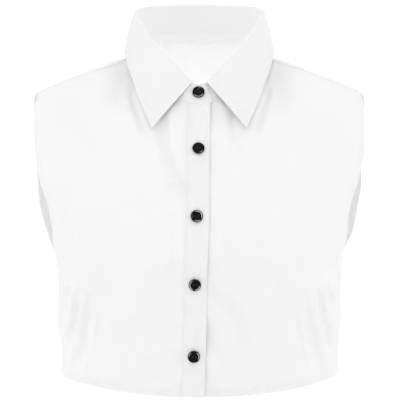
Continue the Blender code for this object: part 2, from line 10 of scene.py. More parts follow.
import bmesh
import bpy
import numpy as np
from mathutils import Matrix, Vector


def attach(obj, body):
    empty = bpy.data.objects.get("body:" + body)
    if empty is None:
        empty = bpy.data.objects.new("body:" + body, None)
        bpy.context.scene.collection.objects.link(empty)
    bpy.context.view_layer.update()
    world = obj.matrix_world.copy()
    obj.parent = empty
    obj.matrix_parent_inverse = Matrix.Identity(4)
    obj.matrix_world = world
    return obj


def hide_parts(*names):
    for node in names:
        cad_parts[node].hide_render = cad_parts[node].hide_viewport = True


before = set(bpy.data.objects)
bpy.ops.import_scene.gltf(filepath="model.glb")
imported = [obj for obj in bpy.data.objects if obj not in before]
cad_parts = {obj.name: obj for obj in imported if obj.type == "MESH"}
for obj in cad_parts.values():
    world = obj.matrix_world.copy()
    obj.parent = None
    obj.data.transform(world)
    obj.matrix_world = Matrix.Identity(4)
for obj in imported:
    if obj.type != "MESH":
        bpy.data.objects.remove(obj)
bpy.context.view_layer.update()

# Back panel: one piece of white cotton shirting, from the collar over the shoulders to the hem.
# Its armholes and its bottom edge are turned twice to the inside and sewn down with one row.
MM = 0.001
CLOTH = 0.6
CLOTH_EDGE_BEVEL = 0.22
CLOTH_EDGE_ANGLE = 60.0
GRID_STEP = 1.9
FINE_STEPS = 700

NECK_HALF_WIDTH = 70.0
NECK_FRONT = 61.0
NECK_BACK = 52.0
NECK_FRONT_Z = -50.0
NECK_SIDE_Z = 1.0
NECK_BACK_Z = 20.0
NECK_COLUMN = 0.38
SHOULDER_SEAM_ANGLE = 81.0
SHOULDER_TIP = (167.5, -6.0, -41.0)
TOP_KNOT_RISE = 40.0
SIDE_RISE = 1.27

# A level of the body form: its point on the mid line, its point on the line under the arm, and
# the lengths in which it leaves them. Reach under 1 stops it at the armhole.
Section = namedtuple("Section", "name centre_y centre_z side_x side_z fullness pull reach")
BACK_SECTIONS = (
    Section("hem", 84.0, -345.0, 144.9, -337.6, 0.62, 53.0, 1.0),
    Section("above hem", 84.5, -314.0, 146.8, -309.0, 0.62, 54.5, 1.0),
    Section("ribs", 88.0, -268.0, 148.2, -266.0, 0.62, 59.0, 1.0),
    Section("under blades", 92.0, -232.5, 149.4, -231.0, 0.62, 65.0, 1.0),
    Section("underarm", 93.8, -213.0, 149.8, -213.6, 0.62, 69.0, 1.0),
    Section("armhole curve", 96.0, -190.0, 159.6, -202.0, 0.60, 64.0, 0.87),
    Section("armhole", 97.3, -168.0, 172.8, -182.5, 0.585, 57.0, 0.80),
    Section("blades", 97.5, -136.0, 185.2, -145.0, 0.575, 57.0, 0.755),
    Section("upper blades", 94.5, -98.0, 186.2, -100.0, 0.56, 57.0, 0.765),
    Section("yoke", 86.5, -56.0, 181.2, -67.0, 0.54, 50.0, 0.83),
    Section("shoulders", 73.0, -18.0, 174.5, -46.5, 0.47, 33.0, 0.93),
)
# How the cloth leaves its top edge, at shares of the way from the mid line to the shoulder tip
Leave = namedtuple("Leave", "share x y z length")
BACK_LEAVE = (
    Leave(0.0, 0.0, 0.50, -0.87, 34.0),
    Leave(0.20, 0.50, 0.60, -0.62, 34.0),
    Leave(0.30, 0.78, 0.52, -0.34, 40.0),
    Leave(0.38, 0.56, 0.80, 0.16, 42.0),
    Leave(0.50, 0.24, 0.80, 0.56, 46.0),
    Leave(0.68, 0.10, 0.86, 0.50, 40.0),
    Leave(0.84, 0.08, 0.88, 0.46, 34.0),
    Leave(1.0, 0.10, 0.97, 0.22, 20.0),
)
# A crease in the front or back view: a trough, or a ridge where depth is positive, from a high
# point to a low one. Bow is how far its middle swings to the right of that line.
Crease = namedtuple("Crease", "name high_x high_z low_x low_z bow half_width depth")
BACK_CREASES = (
    Crease("neck pucker, right", -40.0, 11.0, -13.0, 8.0, -1.0, 2.1, -1.5),
    Crease("neck pucker, notch", -13.0, 8.0, -8.0, 12.5, 0.5, 2.1, -1.5),
    Crease("neck pucker, middle", -8.0, 12.0, 2.0, 6.5, -0.8, 2.1, -1.5),
    Crease("neck pucker, left", 0.0, 6.6, 44.0, 10.5, 1.6, 2.1, -1.5),
    Crease("blade fold, left", 84.0, -78.0, 52.0, -178.0, 9.0, 8.05, -2.21),
    Crease("blade fold, right", -78.0, -70.0, -55.0, -165.0, -8.0, 8.62, -2.04),
    Crease("small of the back, left", 30.0, -196.0, 22.0, -300.0, 5.0, 9.2, -2.04),
    Crease("small of the back, right", -24.0, -205.0, -30.0, -290.0, -4.0, 8.05, -1.7),
    Crease("side fold, left upper", 128.0, -232.0, 108.0, -284.0, 3.0, 4.14, -2.04),
    Crease("side fold, left lower", 132.0, -262.0, 118.0, -322.0, 2.0, 3.91, 1.7),
    Crease("side fold, right upper", -126.0, -236.0, -110.0, -276.0, -3.0, 3.91, -1.87),
    Crease("side fold, right lower", -133.0, -255.0, -115.0, -316.0, -2.0, 4.37, 1.87),
    Crease("arm fold, left", 144.0, -196.0, 112.0, -214.0, 2.0, 4.6, -1.87),
    Crease("arm fold, right", -146.0, -192.0, -118.0, -216.0, -2.0, 5.06, -1.87),
)
# A long wave of the worn cloth: its height, its turns in radians a millimetre, and its shift
Wave = namedtuple("Wave", "height x_turn z_turn shift")
WAVES = (
    Wave(0.55, 0.085, 0.060, 0.4),
    Wave(0.48, -0.110, 0.083, 2.1),
    Wave(0.42, 0.048, -0.145, 4.0),
    Wave(0.28, 0.190, 0.102, 1.3),
    Wave(0.22, -0.155, -0.210, 5.2),
)
WAVE_CALM = 0.25
WAVE_CALM_Z = (-190.0, -100.0)
WAVE_NECK_Z = -15.0
WAVE_NECK_FADE = (75.0, 110.0)
# Shares of a crease's length over which it fades in and out
CREASE_FADE_IN = (-0.05, 0.25)
CREASE_FADE_OUT = (0.7, 1.08)
FORM_STEP = 1e-4


def unit(vectors):
    """Vectors divided by their own lengths."""
    return vectors / np.linalg.norm(vectors, axis=-1, keepdims=True)


def smooth_step(low, high, value):
    """0 below low and 1 above high: s * s * (3 - 2 s) of the share s of the way between them."""
    share = np.clip((value - low) / (high - low), 0.0, 1.0)
    return share * share * (3.0 - 2.0 * share)


def curve_through(knots, rows, places, last_tangent=None):
    """Cubic Hermite curves through rows, one for each place; tangents are harmonic means."""
    knots = np.asarray(knots, dtype=float)
    steps = np.diff(rows, axis=0) / np.diff(knots)[:, None, None]
    both_ways = steps[:-1] * steps[1:]
    total = np.where(both_ways > 0.0, steps[:-1] + steps[1:], 1.0)
    middle = np.where(both_ways > 0.0, 2.0 * both_ways / total, 0.0)
    slopes = np.concatenate([steps[:1], middle, steps[-1:]])
    if last_tangent is not None:
        slopes[-1] = last_tangent / (knots[-1] - knots[-2])
    start = np.clip(np.searchsorted(knots, places, side="right") - 1, 0, len(knots) - 2)
    column = np.arange(len(places))
    span = (knots[start + 1] - knots[start])[:, None]
    t = (places[:, None] - knots[start][:, None]) / span
    before, after = rows[start, column], rows[start + 1, column]
    leave, arrive = slopes[start, column] * span, slopes[start + 1, column] * span
    return ((2 * t**3 - 3 * t**2 + 1) * before + (t**3 - 2 * t**2 + t) * leave
            + (-2 * t**3 + 3 * t**2) * after + (t**3 - t**2) * arrive)


def table_curve(table, places):
    """Smooth values of a table's other columns at places along its first column."""
    rows = np.array([[float(value) for value in row] for row in table])
    values = np.repeat(rows[:, None, 1:], len(places), axis=1)
    return curve_through(rows[:, 0], values, np.asarray(places, dtype=float))


def ring(angle, half_width, front, back):
    """Ellipse in plan at an angle in degrees from the front: (a sin, -b cos), b front or back."""
    turn = np.radians(angle)
    depth = np.where(np.cos(turn) > 0.0, front, back)
    return np.stack([half_width * np.sin(turn), -depth * np.cos(turn)], axis=-1)


def neckline(angle):
    """Neck seam: an ellipse in plan whose height is side - tilt * cos - dip * cos squared."""
    cosine = np.cos(np.radians(angle))
    tilt = (NECK_BACK_Z - NECK_FRONT_Z) / 2.0
    dip = NECK_SIDE_Z - (NECK_BACK_Z + NECK_FRONT_Z) / 2.0
    height = NECK_SIDE_Z - tilt * cosine - dip * cosine**2
    plan = ring(angle, NECK_HALF_WIDTH, NECK_FRONT, NECK_BACK)
    return np.concatenate([plan, height[..., None]], axis=-1)


Panel = namedtuple("Panel", "sections leave neck_start creases")
BACK = Panel(BACK_SECTIONS, BACK_LEAVE, 180.0, BACK_CREASES)


def section_point(section, outward):
    """A level of the form at 0, the mid line, to 1, the edge: a cubic Bezier of four points."""
    towards_side = -math.copysign(1.0, section.centre_y)
    centre = np.array([0.0, section.centre_y, section.centre_z])
    side = np.array([section.side_x, 0.0, section.side_z])
    first = centre + np.array([section.fullness * section.side_x, 0.0, 0.0])
    rise = (SIDE_RISE - 1.0) * (section.side_z - section.centre_z)
    second = side + np.array([0.0, -towards_side * section.pull, rise])
    t = section.reach * outward[:, None]
    return ((1 - t)**3 * centre + 3 * (1 - t)**2 * t * first + 3 * (1 - t) * t**2 * second
            + t**3 * side)


def panel_form(panel, across, up):
    """Form of a panel, its levels joined by curves up to the neck and shoulder seams.

    Across is -1 to 1 from armhole to armhole, and up is 0 at the hem to 1 at the top edge.
    """
    across, up = np.broadcast_arrays(np.asarray(across, float), np.asarray(up, float))
    outward, flat_up = np.abs(across).ravel(), up.ravel()
    neck_share = np.clip(outward / NECK_COLUMN, 0.0, 1.0)
    neck = neckline(panel.neck_start + (SHOULDER_SEAM_ANGLE - panel.neck_start) * neck_share)
    seam_share = np.clip((outward - NECK_COLUMN) / (1.0 - NECK_COLUMN), 0.0, 1.0)[:, None]
    top = neck + seam_share * (np.array(SHOULDER_TIP) - neckline(np.array([SHOULDER_SEAM_ANGLE])))
    rows = np.stack([section_point(section, outward) for section in panel.sections] + [top])
    leaving = table_curve(panel.leave, outward)
    heights = [section.centre_z + section.side_z for section in panel.sections]
    knots = np.array(heights + [2.0 * SHOULDER_TIP[2] + TOP_KNOT_RISE])
    knots = (knots - knots[0]) / (knots[-1] - knots[0])
    point = curve_through(knots, rows, flat_up, -unit(leaving[:, :3]) * leaving[:, 3:])
    point[:, 0] *= np.sign(across).ravel()
    return point.reshape(across.shape + (3,))


def panel_outward(panel, across, up):
    """Outward direction of the form, from the cross product of two small steps over it."""
    across, up = np.asarray(across), np.asarray(up)
    sideways = (panel_form(panel, across + FORM_STEP, up)
                - panel_form(panel, across - FORM_STEP, up))
    upwards = (panel_form(panel, across, np.clip(up + FORM_STEP, 0.0, 1.0))
               - panel_form(panel, across, np.clip(up - FORM_STEP, 0.0, 1.0)))
    facing = 1.0 if panel.neck_start == 0.0 else -1.0
    return facing * unit(np.cross(sideways, upwards))


def crease_depth(creases, point):
    """Sum of creases and of soft unevenness.

    A crease is depth * exp(-away squared) and fades out at its two ends. The unevenness is a
    sum of long sine waves that cross each other, calmer over the chest and none at the neck.
    """
    flat = point[..., [0, 2]]
    total = np.zeros(point.shape[:-1])
    for wave in WAVES:
        total += wave.height * np.sin(flat @ np.array([wave.x_turn, wave.z_turn]) + wave.shift)
    total *= WAVE_CALM + (1.0 - WAVE_CALM) * (1.0 - smooth_step(*WAVE_CALM_Z, flat[..., 1]))
    total *= smooth_step(*WAVE_NECK_FADE, np.hypot(flat[..., 0], flat[..., 1] - WAVE_NECK_Z))
    for crease in creases:
        high = np.array([crease.high_x, crease.high_z])
        run = np.array([crease.low_x, crease.low_z]) - high
        length = np.linalg.norm(run)
        along = (flat - high) @ run / length**2
        aside = (flat - high) @ np.array([-run[1], run[0]]) / length
        away = (aside - crease.bow * 4.0 * along * (1.0 - along)) / crease.half_width
        fade = smooth_step(*CREASE_FADE_IN, along) * (1.0 - smooth_step(*CREASE_FADE_OUT, along))
        total += crease.depth * fade * np.exp(-away**2)
    return total


def panel_surface(panel, across, up, lift=0.0):
    """Middle of the cloth: the form moved outwards by its creases and by lift."""
    point = panel_form(panel, across, up)
    depth = crease_depth(panel.creases, point) + lift
    return point + panel_outward(panel, across, up) * depth[..., None]


def even_places(panel, across, step):
    """Places up a panel at even lengths along one of its columns."""
    fine = np.linspace(0.0, 1.0, FINE_STEPS)
    travelled = arc_lengths(panel_form(panel, across, fine))
    count = int(round(travelled[-1] / step))
    return np.interp(np.linspace(0.0, travelled[-1], count + 1), travelled, fine)


def arc_lengths(line):
    """Length travelled along a line of points, up to each of them."""
    return np.concatenate([[0.0], np.cumsum(np.linalg.norm(np.diff(line, axis=0), axis=1))])


def nearest_on(line, points):
    """Distance from points to a line, and how far along it they are nearest."""
    flat = points.reshape(-1, 3)
    travelled = arc_lengths(line)
    squared = (flat**2).sum(1)[:, None] - 2.0 * flat @ line.T + (line**2).sum(1)
    nearest = squared.argmin(1)
    distance, along = np.full(len(flat), np.inf), np.zeros(len(flat))
    for first in (np.clip(nearest - 1, 0, len(line) - 2), np.clip(nearest, 0, len(line) - 2)):
        run = line[first + 1] - line[first]
        share = np.clip(((flat - line[first]) * run).sum(1) / (run**2).sum(1), 0.0, 1.0)
        gap = np.linalg.norm(flat - line[first] - share[:, None] * run, axis=1)
        place = travelled[first] + share * (travelled[first + 1] - travelled[first])
        closer = gap < distance
        distance, along = np.where(closer, gap, distance), np.where(closer, place, along)
    return distance.reshape(points.shape[:-1]), along.reshape(points.shape[:-1])


def grid_outward(grid):
    """Outward direction of a grid whose rows run up and columns run right, seen from outside."""
    return unit(np.cross(np.gradient(grid, axis=1), np.gradient(grid, axis=0)))


def quad_mesh(name, points, quads):
    """Mesh of four-cornered faces from arrays of points in millimetres and of corner numbers."""
    mesh = bpy.data.meshes.new(name)
    mesh.vertices.add(len(points))
    mesh.vertices.foreach_set("co", (points * MM).ravel())
    mesh.loops.add(quads.size)
    mesh.loops.foreach_set("vertex_index", quads.ravel())
    mesh.polygons.add(len(quads))
    mesh.polygons.foreach_set("loop_start", np.arange(0, quads.size, 4))
    mesh.update(calc_edges=True)
    mesh.shade_smooth()
    return mesh


def new_piece(name, mesh, finish):
    """Object of a mesh with its finish, in the scene."""
    piece = bpy.data.objects.new(name, mesh)
    bpy.context.scene.collection.objects.link(piece)
    mesh.materials.append(finish)
    return piece


def cloth_wall(name, outer, inner, measures, finish):
    """Closed cloth of an outer and an inner grid joined round the rim, which is rounded off.

    Its UV map holds the lengths along the cloth in metres, for the weave, and measures are
    further values for each point of the grid, such as the distance from a hem.
    """
    rows, columns = outer.shape[:2]
    index = np.arange(rows * columns).reshape(rows, columns)
    face = np.stack([index[:-1, :-1], index[:-1, 1:], index[1:, 1:], index[1:, :-1]], axis=-1)
    face = face.reshape(-1, 4)
    loop = np.concatenate([index[0, :-1], index[:-1, -1], index[-1, :0:-1], index[:0:-1, 0]])
    after = np.roll(loop, -1)
    under = rows * columns
    rim = np.stack([loop, loop + under, after + under, after], axis=-1)
    quads = np.concatenate([face, face[:, ::-1] + under, rim])
    points = np.concatenate([outer.reshape(-1, 3), inner.reshape(-1, 3)])
    mesh = quad_mesh(name, points, quads)
    mesh.set_sharp_from_angle(angle=math.radians(CLOTH_EDGE_ANGLE))
    widths = np.linalg.norm(np.diff(outer, axis=1), axis=-1)
    heights = np.linalg.norm(np.diff(outer, axis=0), axis=-1)
    along = np.pad(np.cumsum(widths, axis=1), ((0, 0), (1, 0)))
    along = along - along[:, columns // 2, None]
    above = np.pad(np.cumsum(heights, axis=0), ((1, 0), (0, 0)))
    weave = np.stack([along, above], axis=-1).reshape(-1, 2) * MM
    corners = np.concatenate([weave, weave])[quads.ravel()]
    mesh.uv_layers.new(name="weave").data.foreach_set("uv", corners.ravel())
    for measure, values in measures.items():
        layer = mesh.attributes.new(measure, "FLOAT", "POINT")
        layer.data.foreach_set("value", np.tile(values.ravel(), 2))
    piece = new_piece(name, mesh, finish)
    bevel = piece.modifiers.new("rounded edge", "BEVEL")
    bevel.width = CLOTH_EDGE_BEVEL * MM
    bevel.segments = 2
    bevel.angle_limit = math.radians(CLOTH_EDGE_ANGLE)
    return piece


def row_crossing(grid, away, level, reverse=False):
    """Line of points where away first passes level on the way in along each row."""
    order = slice(None, None, -1) if reverse else slice(None)
    away, grid = away[:, order], grid[:, order]
    inside = away >= level
    found = inside.any(axis=1) & ~inside[:, 0]
    second = inside[found].argmax(axis=1)
    row = np.flatnonzero(found)
    low, high = away[row, second - 1], away[row, second]
    share = ((level - low) / (high - low))[:, None]
    return grid[row, second - 1] * (1.0 - share) + grid[row, second] * share


# Sewing thread: spun white polyester, lying on the cloth as a row of short stitches. Each stitch
# is a small spindle of four sides that dips into the cloth at both ends.
THREAD_RADIUS = 0.13
THREAD_WHITE = (0.80, 0.80, 0.805)
THREAD_ROUGHNESS = 0.55
PLY_SCALE = 700.0
PLY_RELIEF = 0.03
STITCH_START = 0.4
STITCH_LENGTH = 2.3
STITCH_GAP = 0.5
# A spindle's rings: their shares of its length, their sizes and how far they lift off the cloth
SPINDLE_SHARES = (0.0, 0.22, 0.78, 1.0)
SPINDLE_SIZES = (0.35, 1.0, 1.0, 0.35)
SPINDLE_LIFTS = (-0.9, 0.25, 0.25, -0.9)
SPINDLE_CORNERS = (45.0, 135.0, 225.0, 315.0)


class Wire:
    """A link between nodes of a material. Python's operators on wires add Math nodes."""

    def __init__(self, tree, socket=None):
        self.tree = tree
        self.socket = socket

    def node(self, kind, settings=None, sockets=None, output=0):
        """New node: its settings are set first, then its sockets' values or links."""
        made = self.tree.nodes.new(kind)
        for name, value in (settings or {}).items():
            setattr(made, name, value)
        for name, value in (sockets or {}).items():
            if isinstance(value, Wire):
                self.tree.links.new(value.socket, made.inputs[name])
            else:
                made.inputs[name].default_value = value
        return Wire(self.tree, made.outputs[output])

    def math(self, operation, *values):
        """Math node whose first value is this wire, or the first of two values given."""
        values = values if len(values) == 2 else (self, *values)
        return self.node("ShaderNodeMath", {"operation": operation}, dict(enumerate(values)))

    def noise(self, scale, detail, roughness=0.5):
        """Noise texture that this wire, a vector, places."""
        return self.node("ShaderNodeTexNoise", sockets={
            "Vector": self, "Scale": scale, "Detail": detail, "Roughness": roughness})

    def mix(self, first, second):
        """Colour between two colours, or a wire and a colour, by this wire as the share."""
        first, second = (colour if isinstance(colour, Wire) else (*colour, 1.0)
                         for colour in (first, second))
        return self.node("ShaderNodeMix", {"data_type": "RGBA"}, {0: self, 6: first, 7: second},
                         output=2)

    def bump(self, strength=1.0):
        """Normal of a surface whose height in metres is this wire."""
        return self.node("ShaderNodeBump", sockets={"Height": self, "Distance": 1.0,
                                                    "Strength": strength})

    def into(self, shader, name):
        """Link this wire to one of the shader's sockets."""
        self.tree.links.new(self.socket, shader.inputs[name])

    def __add__(self, other):
        return self.math("ADD", other)

    def __sub__(self, other):
        return self.math("SUBTRACT", other)

    def __rsub__(self, other):
        return self.math("SUBTRACT", other, self)

    def __mul__(self, other):
        return self.math("MULTIPLY", other)

    def __truediv__(self, other):
        return self.math("DIVIDE", other)

    __radd__ = __add__
    __rmul__ = __mul__


def new_finish(name, colour, roughness):
    """Principled material of one colour; returns it, its shader and a wire to build from."""
    finish = bpy.data.materials.new(name)
    finish.use_nodes = True
    shader = finish.node_tree.nodes["Principled BSDF"]
    shader.inputs["Base Color"].default_value = (*colour, 1.0)
    shader.inputs["Roughness"].default_value = roughness
    finish.diffuse_color = (*colour, 1.0)
    return finish, shader, Wire(finish.node_tree)


COTTON_WHITE = (0.718, 0.718, 0.719)
COTTON_SHADE = (0.678, 0.678, 0.680)
COTTON_ROUGHNESS = 0.86
CLOUD_SCALE = 9.0
THREAD_PITCH = 0.5
THREAD_RELIEF = 0.008
SLUB_SCALE = 1500.0
SLUB_STRETCH = 0.06
SLUB_RELIEF = 0.016
THREAD_DULLNESS = 0.80
SLUB_DULLNESS = 0.10
WRINKLE_SCALE = 26.0
WRINKLE_RELIEF = 0.55
ROW_GROOVE = 0.07
CLOTH_GLOW = 0.6
CLOTH_GLOW_DEPTH = 0.8


def cotton(name, stitch_rows=()):
    """White cotton: plain weave on the UV map, slubs, soft wrinkles and a groove at each row."""
    finish, shader, wire = new_finish(name, COTTON_WHITE, COTTON_ROUGHNESS)
    shader.inputs["Subsurface Weight"].default_value = CLOTH_GLOW
    shader.inputs["Subsurface Radius"].default_value = (1.0, 1.0, 1.0)
    shader.inputs["Subsurface Scale"].default_value = CLOTH_GLOW_DEPTH * MM
    weave = wire.node("ShaderNodeUVMap", {"uv_map": "weave"})
    place = wire.node("ShaderNodeSeparateXYZ", sockets={"Vector": weave})
    over = wire.node("ShaderNodeSeparateXYZ", sockets={"Vector": weave}, output=1)
    turn = 2.0 * math.pi / (THREAD_PITCH * MM)
    threads = (place * turn).math("SINE") * (over * turn).math("SINE")
    stretch = wire.node("ShaderNodeMapping", sockets={"Vector": weave,
                                                      "Scale": (1.0, SLUB_STRETCH, 1.0)})
    slub = stretch.noise(SLUB_SCALE, 1.0)
    shape = wire.node("ShaderNodeTexCoord", output=3)
    soft = shape.noise(WRINKLE_SCALE, 3.0, 0.45)
    height = (threads * (THREAD_RELIEF * MM) + slub * (SLUB_RELIEF * MM)
              + soft * (WRINKLE_RELIEF * MM))
    for row in stitch_rows:
        away = wire.node("ShaderNodeAttribute", {"attribute_name": row}, output=2)
        height = height - (away * away * -1.0).math("EXPONENT") * (ROW_GROOVE * MM)
    height.bump().into(shader, "Normal")
    shape.noise(CLOUD_SCALE, 2.0).mix(COTTON_SHADE, COTTON_WHITE).into(shader, "Base Color")
    (slub * SLUB_DULLNESS + THREAD_DULLNESS).into(shader, "Roughness")
    return finish


def thread_finish(name, colour):
    """Twisted sewing thread, with slanted plies along its length."""
    finish, shader, wire = new_finish(name, colour, THREAD_ROUGHNESS)
    shape = wire.node("ShaderNodeTexCoord", output=3)
    plies = wire.node("ShaderNodeTexWave", {"bands_direction": "DIAGONAL"},
                      {"Vector": shape, "Scale": PLY_SCALE, "Distortion": 1.0}, output=1)
    (plies * (PLY_RELIEF * MM)).bump().into(shader, "Normal")
    return finish


WHITE_THREAD = thread_finish("white thread", THREAD_WHITE)


def spindles(starts, ends, outward, radius):
    """Points and faces of threads from starts to ends: four rings of four, pressed at the ends."""
    run = ends - starts
    aside = unit(np.cross(run, outward))
    above = unit(np.cross(aside, run))
    shares = np.array(SPINDLE_SHARES)
    sizes = np.array(SPINDLE_SIZES) * radius
    lifts = np.array(SPINDLE_LIFTS) * radius
    turn = np.radians(SPINDLE_CORNERS)
    centre = starts[:, None] + run[:, None] * shares[:, None] + above[:, None] * lifts[:, None]
    round_it = (aside[:, None, None] * np.cos(turn)[:, None]
                + above[:, None, None] * np.sin(turn)[:, None])
    points = centre[:, :, None] + round_it * sizes[:, None, None]
    count = len(starts)
    index = np.arange(count * 16).reshape(count, 4, 4)
    after = np.roll(index, -1, axis=2)
    sides = np.stack([index[:, :-1], index[:, 1:], after[:, 1:], after[:, :-1]], axis=-1)
    caps = np.stack([index[:, 0], index[:, -1, ::-1]], axis=1)
    faces = np.concatenate([sides.reshape(-1, 4), caps.reshape(-1, 4)])
    return points.reshape(-1, 3), faces


def stitch_ends(line, outward):
    """Starts, ends and outward directions of the stitches of one row along a line."""
    travelled = arc_lengths(line)
    starts = np.arange(STITCH_START, travelled[-1] - STITCH_LENGTH, STITCH_LENGTH + STITCH_GAP)
    pick = [np.stack([np.interp(at, travelled, values[:, axis]) for axis in range(3)], axis=-1)
            for at in (starts, starts + STITCH_LENGTH)
            for values in (line, outward)]
    return pick[0], pick[2], unit(pick[1] + pick[3])


def sewing(name, rows, finish, radius=THREAD_RADIUS):
    """One piece of all the stitches of some rows, given as (starts, ends, outward)."""
    points, faces, total = [], [], 0
    for starts, ends, outward in rows:
        more_points, more_faces = spindles(starts, ends, outward, radius)
        points.append(more_points)
        faces.append(more_faces + total)
        total += len(more_points)
    mesh = quad_mesh(name, np.concatenate(points), np.concatenate(faces))
    piece = new_piece(name, mesh, finish)
    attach(piece, "root")
    return piece


# Back panel, cut and sewn: its hems are turned twice, which makes them thicker to the inside, and
# the row of stitches that holds each one draws its cloth into ripples.
HEM_CLOTH = 1.1
ARMHOLE_HEM = 6.5
BOTTOM_HEM = 9.0
HEM_EDGE = 0.6
SEAM_TRIM = 0.15
ARMHOLE_RIPPLE = 0.16
BOTTOM_RIPPLE = 0.22
# How far inside its edge a row is sewn, and the half width of the groove that it draws
ROW_INSET = 1.0
ROW_SPREAD = 0.7
NO_ARMHOLE = 99.0
# The waves of a hem's ripples: height and length, as a length for one radian
HEM_WAVES = ((0.5, 1.9), (0.7, 3.7), (0.6, 8.3))
BACK_SEED = 11
UNDERARM_Z = -214.0
shoulder_columns = np.linspace(NECK_COLUMN, 1.0, 62)
half_columns = np.concatenate([np.linspace(0.0, NECK_COLUMN, 46), shoulder_columns[1:]])


def pucker(along, away, width, seed):
    """Ripples of a sewn hem: three waves along it, strongest in the middle of its width."""
    shifts = np.random.default_rng(seed).uniform(0.0, 2.0 * math.pi, len(HEM_WAVES))
    wave = sum(height * np.sin(along / length + shift)
               for (height, length), shift in zip(HEM_WAVES, shifts))
    return wave * np.exp(-((away - 0.75 * width) / (0.7 * width))**2)


def trimmed(grid, bottom=0.0, top=0.0, left=0.0, right=0.0):
    """Grid whose outer rows and columns are drawn in along the cloth by the given lengths."""
    grid = grid.copy()
    grid[0] += bottom * unit(grid[1] - grid[0])
    grid[-1] += top * unit(grid[-2] - grid[-1])
    grid[:, 0] += left * unit(grid[:, 1] - grid[:, 0])
    grid[:, -1] += right * unit(grid[:, -2] - grid[:, -1])
    return grid


def hemmed(grid, armholes, seed):
    """Outer and inner grid of a panel, its measures, and the distances from its hem and its
    armholes.

    Armholes are the lines of points of its armhole edges. Inside a hem the cloth is thicker to
    the inside, and it ripples along its stitches.
    """
    outward = grid_outward(grid)
    hem_away, hem_along = nearest_on(grid[0], grid)
    ripple = BOTTOM_RIPPLE * pucker(hem_along, hem_away, BOTTOM_HEM, seed)
    armhole_away = np.full(grid.shape[:2], NO_ARMHOLE)
    for number, line in enumerate(armholes):
        away, along = nearest_on(line, grid)
        ripple = ripple + ARMHOLE_RIPPLE * pucker(along, away, ARMHOLE_HEM, seed + 1 + number)
        armhole_away = np.minimum(armhole_away, away)
    in_hem = np.maximum(
        1.0 - smooth_step(BOTTOM_HEM - HEM_EDGE, BOTTOM_HEM + HEM_EDGE, hem_away),
        1.0 - smooth_step(ARMHOLE_HEM - HEM_EDGE, ARMHOLE_HEM + HEM_EDGE, armhole_away))
    outer = grid + outward * (CLOTH / 2.0 + ripple)[..., None]
    inner = grid + outward * (ripple - CLOTH / 2.0 - (HEM_CLOTH - CLOTH) * in_hem)[..., None]
    measures = {"hem_row": (hem_away - BOTTOM_HEM + ROW_INSET) / ROW_SPREAD,
                "armhole_row": (armhole_away - ARMHOLE_HEM + ROW_INSET) / ROW_SPREAD}
    return outer, inner, measures, hem_away, armhole_away


def armhole_line(grid, edge, underarm_z):
    """Points of a panel's edge column from the underarm up."""
    line = grid[:, edge]
    return line[line[:, 2] > underarm_z]


back_up = even_places(BACK, NECK_COLUMN, GRID_STEP)
back_across = np.concatenate([half_columns[:0:-1], -half_columns])
back_grid = panel_surface(BACK, back_across[None, :], back_up[:, None])
back_grid = trimmed(back_grid, top=SEAM_TRIM, left=SEAM_TRIM, right=SEAM_TRIM)
back_armholes = [armhole_line(back_grid, 0, UNDERARM_Z), armhole_line(back_grid, -1, UNDERARM_Z)]
outer, inner, measures, hem_away, armhole_away = hemmed(back_grid, back_armholes, BACK_SEED)
back = cloth_wall("back_cloth", outer, inner, measures,
                  cotton("back cotton", ("hem_row", "armhole_row")))


def hem_stitches(outer, hem_away, armhole_away, sides):
    """Stitch rows of a panel's bottom hem and of its armhole hems, on the outer face."""
    outward = grid_outward(outer)
    both = np.concatenate([outer, outward], axis=-1)
    lines = [row_crossing(both.transpose(1, 0, 2), hem_away.T, BOTTOM_HEM - ROW_INSET)]
    lines += [row_crossing(both, armhole_away, ARMHOLE_HEM - ROW_INSET, reverse)
              for reverse in sides]
    return [stitch_ends(line[:, :3], unit(line[:, 3:])) for line in lines]


back_sewing = sewing("back_stitches", hem_stitches(outer, hem_away, armhole_away, (False, True)),
                     WHITE_THREAD)
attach(back, "root")
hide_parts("back")

# Front panels: a right and a left one of the same cotton, from the shoulder seams over the bust
# to the hem. The left one runs on under the placket as the button stand.
LAYER_STEP = 1.15
BUTTON_STAND_EDGE = -15.0
LAP_FADE = (14.0, 46.0)
LAP_COLUMNS_END = 16.0
CLOSURE_FADE = (1.0, 17.0)
# Distance along a front for one unit of its place across, and the step for its slopes
FRONT_HALF_WIDTH = 270.0
SLOPE_STEP = 1e-3
FRONT_SECTIONS = (
    Section("hem", -97.0, -349.0, 144.9, -337.6, 0.62, 58.0, 1.0),
    Section("above hem", -100.0, -318.0, 146.8, -309.0, 0.62, 60.0, 1.0),
    Section("ribs", -106.0, -270.0, 148.2, -266.0, 0.63, 64.0, 1.0),
    Section("under bust", -112.5, -234.0, 149.4, -231.0, 0.65, 69.0, 1.0),
    Section("underarm", -115.3, -214.5, 149.8, -213.6, 0.66, 72.0, 1.0),
    Section("armhole foot", -116.3, -207.0, 150.4, -209.4, 0.66, 72.5, 0.945),
    Section("armhole curve", -117.0, -198.0, 152.6, -200.5, 0.655, 73.0, 0.89),
    Section("bust", -116.6, -182.0, 156.5, -186.0, 0.645, 73.0, 0.84),
    Section("upper bust", -112.0, -157.0, 162.8, -161.0, 0.62, 74.0, 0.80),
    Section("chest", -101.5, -128.0, 174.2, -128.5, 0.60, 76.0, 0.785),
    Section("collar point", -86.5, -98.0, 179.0, -92.0, 0.58, 76.0, 0.80),
    Section("upper chest", -73.0, -72.0, 175.0, -60.0, 0.56, 75.0, 0.86),
)
FRONT_LEAVE = (
    Leave(0.0, 0.0, -0.50, -0.87, 24.0),
    Leave(0.20, 0.12, -0.62, -0.77, 34.0),
    Leave(0.38, 0.14, -0.80, -0.58, 52.0),
    Leave(0.70, 0.08, -0.86, -0.50, 40.0),
    Leave(1.0, 0.06, -0.90, -0.42, 24.0),
)
